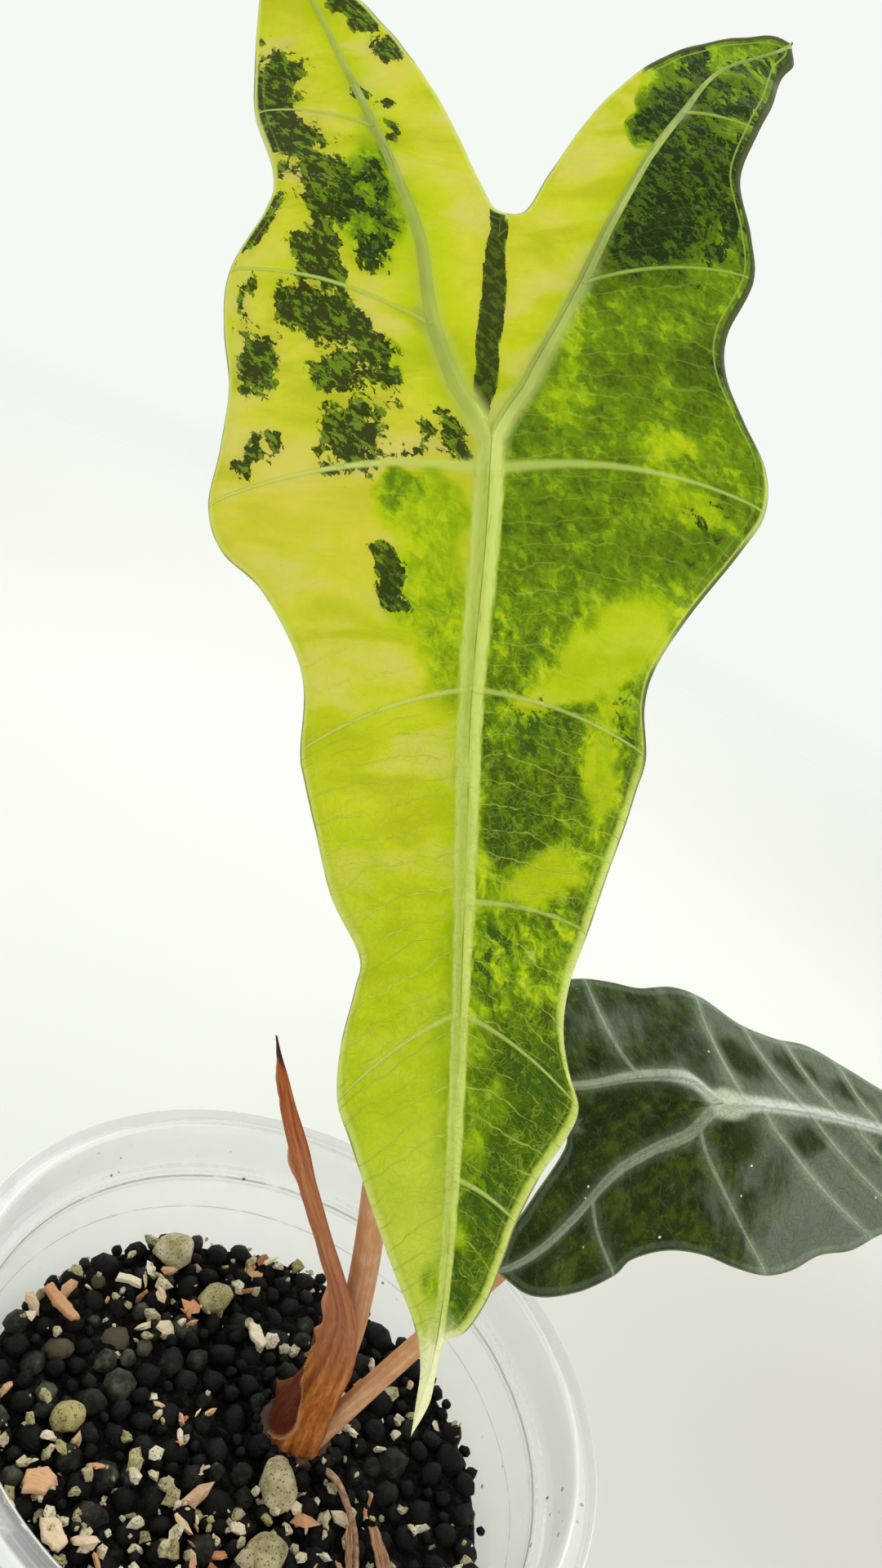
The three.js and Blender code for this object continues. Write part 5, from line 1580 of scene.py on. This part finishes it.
class PlantColours(bpy.types.PropertyGroup):
    """The colours of the plant, its fill and its cup."""

    leaf_gold: colour_setting("Leaf gold", "Warm yellow of the palest parts", 238, 222, 82)
    leaf_yellow: colour_setting("Leaf yellow", "Yellow of the parts without green", 216, 222, 40)
    leaf_lime_yellow: colour_setting("Leaf lime yellow", "Yellow green low down", 194, 212, 16)
    leaf_lime: colour_setting("Leaf lime", "Bright green beside the patches", 152, 184, 4)
    leaf_green: colour_setting("Leaf green", "Middle green", 100, 136, 2)
    leaf_deep_green: colour_setting("Leaf deep green", "Deeper green of the right half", 48, 76, 2)
    leaf_dark: colour_setting("Leaf dark", "Dark green of the patches", 24, 42, 2)
    # Painted shade in the hollows of the yellow ground's quilting
    leaf_fold_shade: colour_setting("Leaf olive", "Hollows of the yellow ground", 178, 186, 14)
    # Warm pink of the yellow ground's swells, partly its own tint and partly painted highlight
    leaf_blush_and_highlight: colour_setting("Leaf blush", "Warm swells of the yellow ground", 238, 218, 130)
    leaf_net: colour_setting("Leaf net", "Small veins of the tall blade", 206, 220, 92)
    leaf_glow: colour_setting("Leaf glow", "Light that comes through the tall blade", 222, 226, 22)
    vein: colour_setting("Vein", "Main veins of the tall blade", 214, 226, 122)
    velvet: colour_setting("Dark blade", "Middle green of the low blade", 40, 54, 12)
    velvet_dark: colour_setting("Dark blade shade", "Darkest green of the low blade", 26, 36, 5)
    velvet_light: colour_setting("Dark blade flecks", "Lightest green of it", 92, 106, 40)
    # A painted reflection: the grey sheen on the low blade
    velvet_sheen: colour_setting("Dark blade bloom", "Grey bloom of the low blade", 118, 126, 108)
    velvet_vein: colour_setting("Dark blade veins", "Grey green of its veins", 168, 178, 154)
    stalk: colour_setting("Stalk", "Pinkish tan of both stalks", 216, 160, 114)
    stem_base: colour_setting("Stem base", "Dark brown of the stem base", 70, 46, 34)
    sheath: colour_setting("Sheath", "Orange tan of the dry sheath", 190, 112, 38)
    sheath_red: colour_setting("Sheath red", "Red brown of its creases", 158, 84, 32)
    sheath_pale: colour_setting("Sheath pale", "Pinkish upper half of the sheath", 214, 150, 116)
    sheath_inside: colour_setting("Sheath inside", "Dark red brown of its inner face", 86, 26, 14)
    root: colour_setting("Root", "Tan of the roots", 158, 120, 92)
    strip: colour_setting("Dry strip", "Brown of the dry strips", 150, 108, 74)
    pellet: colour_setting("Pellet", "Near black of the pellets", 6, 5, 4)
    # Partly a painted highlight: the grey green of the paler pellets
    pellet_sheen: colour_setting("Pellet bloom", "Grey green light side of the pellets", 84, 86, 72)
    pumice: colour_setting("Pumice", "Middle colour of the pale stones", 166, 152, 112)
    bark: colour_setting("Bark", "Orange brown of the chips", 204, 136, 88)
    plastic: colour_setting("Plastic", "Tint of the clear cup", 240, 239, 238)
    floor: colour_setting("Floor", "Pale floor under the plant", 222, 222, 218)


class PlantSizes(bpy.types.PropertyGroup):
    """The sizes of the finer shapes that the looks add, in millimetres unless a name says otherwise."""

    quilting: size_setting(
        "Quilting", "How far a blade puffs up between its veins, in millimetres", 0.55, 0.0, 1.5)
    edge_roll: size_setting(
        "Edge roll", "How far a blade's edge rolls back, in millimetres", 0.7, 0.0, 2.0)
    pucker: size_setting(
        "Pucker", "Depth of the hollows beside the low blade's ribs, in millimetres", 0.55, 0.0, 1.5)
    sheath_wrinkle: size_setting(
        "Sheath wrinkle", "Depth of the dry sheath's wrinkles, in millimetres", 0.27, 0.0, 0.6)
    sheath_rag: size_setting(
        "Sheath raggedness", "How unevenly the sheath's edges run, as a share of its curl", 0.13, 0.0, 0.3)
    pellet_scale: size_setting(
        "Pellet scale", "Scale of the round pellets", 1.0, 0.6, 1.4)
    grit_count: size_setting(
        "Grit count", "How many pale bits lie between the pellets", 480, 0, 1200)
    bark_count: size_setting(
        "Bark bits", "How many small bits of bark lie between the pellets", 190, 0, 600)
    floor_radius: size_setting(
        "Floor radius", "Radius of the pale floor", 1.6, 0.4, 5.0, unit="LENGTH")


# Operators, one for each piece or group of like pieces

def lay_bits(name, node, shapes, tints, finish):
    """A piece for each shape, numbered from 1, with a tint of its own."""
    for number, ((points, faces), tint) in enumerate(zip(shapes, tints), 1):
        known = {"tint": np.full(len(points), tint)}
        dress(make_piece(f"{name}_{number}", points, faces, (f"{node}_{number}",), known), finish)


class PLANT_OT_stage(bpy.types.Operator):
    """Make the pale floor, the soft lights and the camera at the photograph's viewing angle"""

    bl_idname = "plant.stage"
    bl_label = "Stage"

    camera_place = (-0.0186, -0.1655, 0.2379)
    camera_right = (0.902, 0.145, 0.407)
    camera_up = (-0.432, 0.302, 0.850)
    camera_back = (0.0, -0.942, 0.3355)
    lens = 28.125
    # Each light: where it stands, the width of its square, its power and its colour
    lights = (
        ((0.75, -0.15, 0.95), 0.7, 2.6, (1.0, 0.99, 0.97)),
        ((-0.55, -0.75, 0.75), 0.9, 1.2, (0.97, 0.99, 1.0)),
        ((-0.15, 0.85, 0.75), 1.0, 4.4, (1.0, 1.0, 0.98)),
    )
    world_colour = (0.95, 1.0, 0.945, 1.0)
    world_strength = 0.95
    looked_at = (0, 0, 0.13)
    floor_rings = (0.2, 0.5, 0.8, 1.0)
    floor_sides = 96
    floor_level = -0.3
    floor_under = -6.0

    def execute(self, context):
        """The floor, the lights and the camera, and colours shown as they are."""
        scene = context.scene
        self.make_floor(scene)
        self.make_lights(scene)
        self.make_camera(scene)
        scene.view_settings.view_transform = "Standard"
        return {"FINISHED"}

    def make_floor(self, scene):
        """A disc of rings whose finish fades out towards its edge."""
        radii = np.array(self.floor_rings) * scene.plant_sizes.floor_radius / MM
        rings = rings_round(radii, np.full(len(radii), self.floor_level), self.floor_sides)
        points, faces = capped(rings, (0, 0, self.floor_level), (0, 0, self.floor_under))
        mesh = bpy.data.meshes.new("floor")
        mesh.from_pydata((points * MM).tolist(), [], faces[:, ::-1].tolist())
        floor = bpy.data.objects.new("floor", mesh)
        scene.collection.objects.link(floor)
        dress(floor, floor_finish(scene.plant_colours, scene.plant_sizes.floor_radius))

    def make_lights(self, scene):
        """Square lights that look at the plant, and a plain pale world."""
        for number, (place, width, power, colour) in enumerate(self.lights):
            light = bpy.data.lights.new(f"soft_light_{number + 1}", "AREA")
            light.shape = "SQUARE"
            light.size = width
            light.energy = power
            light.color = colour
            lamp = bpy.data.objects.new(light.name, light)
            lamp.location = place
            aim = Vector(self.looked_at) - Vector(place)
            lamp.rotation_euler = aim.to_track_quat("-Z", "Y").to_euler()
            scene.collection.objects.link(lamp)
        world = bpy.data.worlds.new("pale_studio")
        world.use_nodes = True
        background = world.node_tree.nodes["Background"]
        background.inputs["Color"].default_value = self.world_colour
        background.inputs["Strength"].default_value = self.world_strength
        scene.world = world

    def make_camera(self, scene):
        """A camera at the photograph's viewing angle."""
        lens = bpy.data.cameras.new("camera")
        lens.lens = self.lens
        lens.sensor_width = 36.0
        lens.sensor_fit = "AUTO"
        lens.clip_start = 0.01
        camera = bpy.data.objects.new("camera", lens)
        turned_axes = Matrix((self.camera_right, self.camera_up, self.camera_back)).transposed()
        camera.matrix_world = Matrix.Translation(self.camera_place) @ turned_axes.to_4x4()
        scene.collection.objects.link(camera)
        scene.camera = camera


class PLANT_OT_cup(bpy.types.Operator):
    """Turn the clear cup with its rolled rim and bore the drain holes"""

    bl_idname = "plant.cup"
    bl_label = "Clear cup"

    corner_radius = 0.35
    wall_sides = 176
    hole_radius = 1.7
    hole_circle = 22.0
    hole_count = 6
    hole_sides = 28

    def execute(self, context):
        """The cup's profile with softened corners, carried round its axis, less six short drums."""
        points, faces = turned(rounded(POT_PROFILE, self.corner_radius), self.wall_sides)
        cup = make_piece("cup_wall", points, faces, ("pot",))
        profile = np.array([(0, -2), (self.hole_radius, -2), (self.hole_radius, 3), (0, 3)])
        drum, drum_faces = turned(profile, self.hole_sides)
        places = rings_round([self.hole_circle], [0], self.hole_count)[0]
        drums = (drum[None] + places[:, None]).reshape(-1, 3) * MM
        index = repeated(drum_faces, self.hole_count, len(drum))
        mesh = bpy.data.meshes.new("drums")
        mesh.from_pydata(drums.tolist(), [], index.tolist())
        cutter = bpy.data.objects.new("drums", mesh)
        context.scene.collection.objects.link(cutter)
        bore = cup.modifiers.new("bore", "BOOLEAN")
        bore.operation = "DIFFERENCE"
        bore.solver = "EXACT"
        bore.object = cutter
        context.view_layer.update()
        whole = bpy.data.meshes.new_from_object(cup.evaluated_get(context.evaluated_depsgraph_get()))
        cup.modifiers.clear()
        cup.data = whole
        bpy.data.objects.remove(cutter)
        if len(whole.polygons) <= len(faces):
            raise RuntimeError("the drain holes were not bored")
        dress(cup, plastic_finish(context.scene.plant_colours))
        return {"FINISHED"}


class PLANT_OT_fill(bpy.types.Operator):
    """Fill the cup: a dark core, round pellets on top and at the wall, and pale grit and bark bits"""

    bl_idname = "plant.fill"
    bl_label = "Fill"

    seed = 7
    core_gap = 1.9
    core_foot = 1.6
    core_sides = 96
    # The rings and sides of a pellet and of a bit, and how rough each is
    pellet_grid, pellet_rough = (6, 8), 0.13
    bit_grid, bit_rough = (4, 6), 0.4

    def execute(self, context):
        """The core, the pellets on top of it and at the wall, and bits on the pellets."""
        sizes, colours = context.scene.plant_sizes, context.scene.plant_colours
        draw = np.random.default_rng(self.seed)
        self.make_core(colours)
        top = heap(sizes, draw)
        self.make_pellets(top, colours, draw)
        for name, slot, count, proportions, finish in (
            ("grit", "pumice", sizes.grit_count, (1.0, 1.0, 0.6), pumice_finish(colours)),
            ("bark_bits", "bark", sizes.bark_count, (1.6, 1.0, 0.42), bark_finish(colours)),
        ):
            points, faces, tint = self.scatter(count, proportions, top, draw)
            piece = make_piece(name, points, faces, attributes={"tint": tint}, smooth=False)
            dress(piece, finish)
        return {"FINISHED"}

    def make_core(self, colours):
        """A lathe surface a step inside the pellets, with its top lifted and sunk by noise."""
        wall = [(inner_radius(height) - self.core_gap, height) for height in (self.core_foot, 20.0)]
        top_radius = inner_radius(FILL_TOP) - self.core_gap
        outline = [*wall, (top_radius, FILL_TOP - 1.2)]
        outline += [(top_radius * share, FILL_TOP + 0.4) for share in np.linspace(0.97, 0.03, 32)]
        rings = rings_round(*np.array(outline).T, self.core_sides)
        rings[3:, :, 2] += 0.9 * lattice_noise(rings[3:] * (1, 1, 0), 2.2, 11)
        points, faces = capped(rings, (0, 0, self.core_foot), (0, 0, FILL_TOP + 0.4))
        core = make_piece("fill_core", points, faces, ("growing_medium",))
        dress(core, core_finish(colours))

    def make_pellets(self, top, colours, draw):
        """Small balls of a few dozen faces each, squashed, roughened and turned at random. Their tints
        are random too, and higher towards the back left, which paints the pellets there as more lit."""
        finish = pellet_finish(colours)
        shape = ball(*self.pellet_grid)
        for name, balls in (("pellets_top", top), ("pellets_wall", wall_pellets(draw))):
            squash = draw.uniform(0.66, 1.08, (len(balls), 3))
            points, faces = many(shape, balls[:, :3], balls[:, 3:] * squash, draw, self.pellet_rough)
            # Painted light: pellets towards the back left get higher, paler tints, as lit ones
            tint = draw.uniform(0, 1, len(balls)) * (0.8 + 0.2 * ease((-8 - balls[:, 0]) / 25))
            tint = tint + 0.16 * ease((-10 - balls[:, 0]) / 14) * ease((balls[:, 1] + 6) / 18)
            tint = np.where(balls[:, 3] < SMALL_PELLET, tint * 0.8, tint)
            tint = np.repeat(tint, len(shape[0]))
            dress(make_piece(name, points, faces, attributes={"tint": tint}), finish)

    def scatter(self, count, proportions, top, draw):
        """Small angular bits on the surface of the heap. Twice as many spots are tried, and those stay
        that lie where noise and the front gather the bits."""
        spread = (inner_radius(FILL_TOP) - 2.0) * np.sqrt(draw.uniform(0, 1, 2 * count))
        turn = draw.uniform(0, 2 * pi, 2 * count)
        spots = np.stack([spread * np.cos(turn), spread * np.sin(turn), turn * 0], axis=1)
        gather = 0.7 * lattice_noise(spots, 9.0, 12) + 0.6 * ease((-4 - spots[:, 1]) / 16)
        gather = gather + draw.uniform(0, 0.9, 2 * count)
        spots = spots[np.argsort(-gather)[:count]]
        spots = spots[np.hypot(spots[:, 0] - CROWN[0], spots[:, 1] - CROWN[1]) > 7.6]
        size = draw.uniform(0.45, 1.38, (len(spots), 1)) ** 1.9 * 1.15
        stretch = size * draw.uniform(0.45, 1.0, (len(spots), 3)) * proportions
        spots[:, 2] = surface_under(spots, top) + 0.25 * size[:, 0]
        shape = ball(*self.bit_grid)
        points, faces = many(shape, spots, stretch, draw, self.bit_rough)
        return points, faces, np.repeat(draw.uniform(0.25, 1.05, len(spots)), len(shape[0]))


class PLANT_OT_stones(bpy.types.Operator):
    """Lay the large pale stones on the fill"""

    bl_idname = "plant.stones"
    bl_label = "Pale stones"

    seed = 20
    tints = (0.6, 0.38, 0.56, 0.42, 0.3, 0.55)

    def execute(self, context):
        """A worn ball for each stone, with a tint of its own."""
        shapes = [lumpy_stone(size, turn, at, self.seed + number)
                  for number, (at, size, turn) in enumerate(STONES)]
        finish = pumice_finish(context.scene.plant_colours)
        lay_bits("stone", "pumice_stone", shapes, self.tints, finish)
        return {"FINISHED"}


class PLANT_OT_chips(bpy.types.Operator):
    """Lay the chips of bark and shell on the fill"""

    bl_idname = "plant.chips"
    bl_label = "Bark chips"

    seed = 40
    tints = (0.45, 0.55, 0.8, 0.95, 0.93)

    def execute(self, context):
        """A flat ragged chip for each, with a tint of its own."""
        shapes = [lumpy_chip(outline, thickness, turn, at, self.seed + number)
                  for number, (at, outline, thickness, turn) in enumerate(CHIPS)]
        finish = bark_finish(context.scene.plant_colours)
        lay_bits("chip", "bark_chip", shapes, self.tints, finish)
        return {"FINISHED"}


class PLANT_OT_stalks(bpy.types.Operator):
    """Draw both stalks, from the crown to the backs of the blades"""

    bl_idname = "plant.stalks"
    bl_label = "Stalks"

    def execute(self, context):
        """A grooved tube along each stalk's cubic curve."""
        finish = stalk_finish(context.scene.plant_colours)
        for name, (corners, foot, head) in PETIOLES.items():
            points, faces, skin = petiole(corners, foot, head)
            nodes = (f"petiole_{name}",)
            dress(make_piece(f"stalk_{name}", points, faces, nodes, {"skin": skin}), finish)
        return {"FINISHED"}


class PLANT_OT_sheath(bpy.types.Operator):
    """Curl the dry sheath round the crown, with the rolled layer low on its left"""

    bl_idname = "plant.sheath"
    bl_label = "Dry sheath"

    seed = 50

    def execute(self, context):
        """One ragged, wrinkled sheet."""
        points, faces, known = sheath_sheet(context.scene.plant_sizes, self.seed)
        sheath = make_piece("sheath", points, faces, ("cataphyll",), known)
        dress(sheath, sheath_finish(context.scene.plant_colours))
        return {"FINISHED"}


class PLANT_OT_roots(bpy.types.Operator):
    """Run the root over the fill, and finish the stem base and the dry strips"""

    bl_idname = "plant.roots"
    bl_label = "Roots and dry strips"

    root_rings = 120
    root_sides = 14
    root_radii = (0.62, 0.5)
    root_seed = 61
    strip_seed = 70

    def execute(self, context):
        """A knobbly tube through the root's points, and a ragged ribbon for each strip."""
        colours = context.scene.plant_colours
        finish = root_finish("root_skin", colours.root, paint(196, 156, 116))
        places = np.linspace(0, len(ROOT_POINTS) - 1, 200)
        path = even_run(through_points(ROOT_POINTS, places), self.root_rings)
        knobs = 0.16 * lattice_noise(path, 1.3, self.root_seed)[:, None]
        ridges = 0.05 * np.cos(even_turns(self.root_sides) * 3 + path[:, :1])
        radius = np.linspace(*self.root_radii, self.root_rings)[:, None] * (1 + knobs + ridges)
        points, faces, skin = tube(path, radius, self.root_sides, (0, 0, 1))
        dress(make_piece("root", points, faces, ("surface_root",), {"skin": skin}), finish)
        dress_node("rhizome", root_finish("stem_base", colours.stem_base, paint(104, 70, 48)))
        finish = strip_finish(colours)
        for number, (start, middle, end, width) in enumerate(STRIPS):
            points, faces, skin = ribbon(start, middle, end, width, self.strip_seed + number)
            nodes = (f"dry_sheath_{number + 1}",)
            strip = make_piece(f"strip_{number + 1}", points, faces, nodes, {"skin": skin})
            dress(strip, finish)
        return {"FINISHED"}


class PLANT_OT_tall_blade(bpy.types.Operator):
    """Make the tall variegated blade"""

    bl_idname = "plant.tall_blade"
    bl_label = "Tall blade"

    row_step = 0.78
    columns = 36

    def execute(self, context):
        """The closed mesh of its rows and columns, with tones painted from two short lists of blotches."""
        sizes = context.scene.plant_sizes
        relief = {"puff": sizes.quilting * 1.3, "pucker": 0.26, "pucker_step": 6.6, "pucker_reach": 8.0,
                  "roll": sizes.edge_roll}
        points, faces, known = blade_mesh(TALL_BLADE, relief, self.row_step, self.columns)
        right = known["side"] > 0
        ground = np.where(right & (known["inner"] < 0.5), RIGHT_TONE, LEFT_TONE)
        fade = ease((known["along"] - 30) / 40)
        ground = np.where(right, ground, ground + (0.3 - ground) * fade)
        tone, dark = leaf_tones(known["across"], known["along"], ground, known["inner"])
        finish = tall_blade_finish(context.scene.plant_colours)
        painted = {"tone": tone, "dark": dark}
        make_blade("tall", finish, points, faces, known, painted)
        return {"FINISHED"}


class PLANT_OT_low_blade(bpy.types.Operator):
    """Make the low dark blade"""

    bl_idname = "plant.low_blade"
    bl_label = "Low blade"

    row_step = 0.7
    columns = 32

    def execute(self, context):
        """The closed mesh of its rows and columns, with deeper hollows beside its ribs."""
        sizes = context.scene.plant_sizes
        relief = {"puff": sizes.quilting * 1.5, "pucker": sizes.pucker, "pucker_step": 6.2,
                  "pucker_reach": 5.0, "roll": sizes.edge_roll}
        points, faces, known = blade_mesh(LOW_BLADE, relief, self.row_step, self.columns)
        across, along = known["across"], known["along"]
        # Painted light: a grey sheen, a painted reflection, towards the tip and in a patch on the left
        # lobe
        bloom = np.clip(np.where(across > 0, (along + 5) / 24, (along + 14) / 26), 0, 1)
        bloom = np.maximum(bloom, 0.5 * np.exp(-((across + 13) / 9) ** 2 - ((along + 17) / 10) ** 2))
        joint = np.exp(-((across / 3.4) ** 2 + ((along - 1.5) / 5.0) ** 2))
        # Painted shade in the hollows between the veins
        hollow = np.max([blotch_mask(across, along, blotch, 0.8) for blotch in LOW_SHADED_HOLLOWS], axis=0)
        finish = low_blade_finish(context.scene.plant_colours)
        painted = {"bloom": bloom, "hollow": hollow, "joint": joint}
        make_blade("low", finish, points, faces, known, painted)
        return {"FINISHED"}


class PLANT_PT_parts(bpy.types.Panel):
    """The pieces of the potted plant, each with the operator that makes it"""

    bl_idname = "PLANT_PT_parts"
    bl_label = "Kris Plant"
    bl_space_type = "VIEW_3D"
    bl_region_type = "UI"
    bl_category = "Kris Plant"

    def draw(self, context):
        """List the operators, the sizes and the colours."""
        column = self.layout.column()
        for operator in OPERATORS:
            column.operator(operator.bl_idname)
        for group in (context.scene.plant_sizes, context.scene.plant_colours):
            for name in group.__annotations__:
                column.prop(group, name)


OPERATORS = (
    PLANT_OT_stage, PLANT_OT_cup, PLANT_OT_fill, PLANT_OT_stones, PLANT_OT_chips, PLANT_OT_stalks,
    PLANT_OT_sheath, PLANT_OT_roots, PLANT_OT_tall_blade, PLANT_OT_low_blade,
)
CLASSES = (PlantColours, PlantSizes, *OPERATORS, PLANT_PT_parts)


def register():
    """Add the classes and the settings."""
    for each in CLASSES:
        bpy.utils.register_class(each)
    bpy.types.Scene.plant_sizes = bpy.props.PointerProperty(type=PlantSizes)
    bpy.types.Scene.plant_colours = bpy.props.PointerProperty(type=PlantColours)


def unregister():
    """Take the settings and the classes away."""
    del bpy.types.Scene.plant_colours
    del bpy.types.Scene.plant_sizes
    for each in reversed(CLASSES):
        bpy.utils.unregister_class(each)


def main():
    """Make every piece."""
    register()
    for operator in OPERATORS:
        group, name = operator.bl_idname.split(".")
        getattr(getattr(bpy.ops, group), name)()


if __name__ == "__main__":
    main()
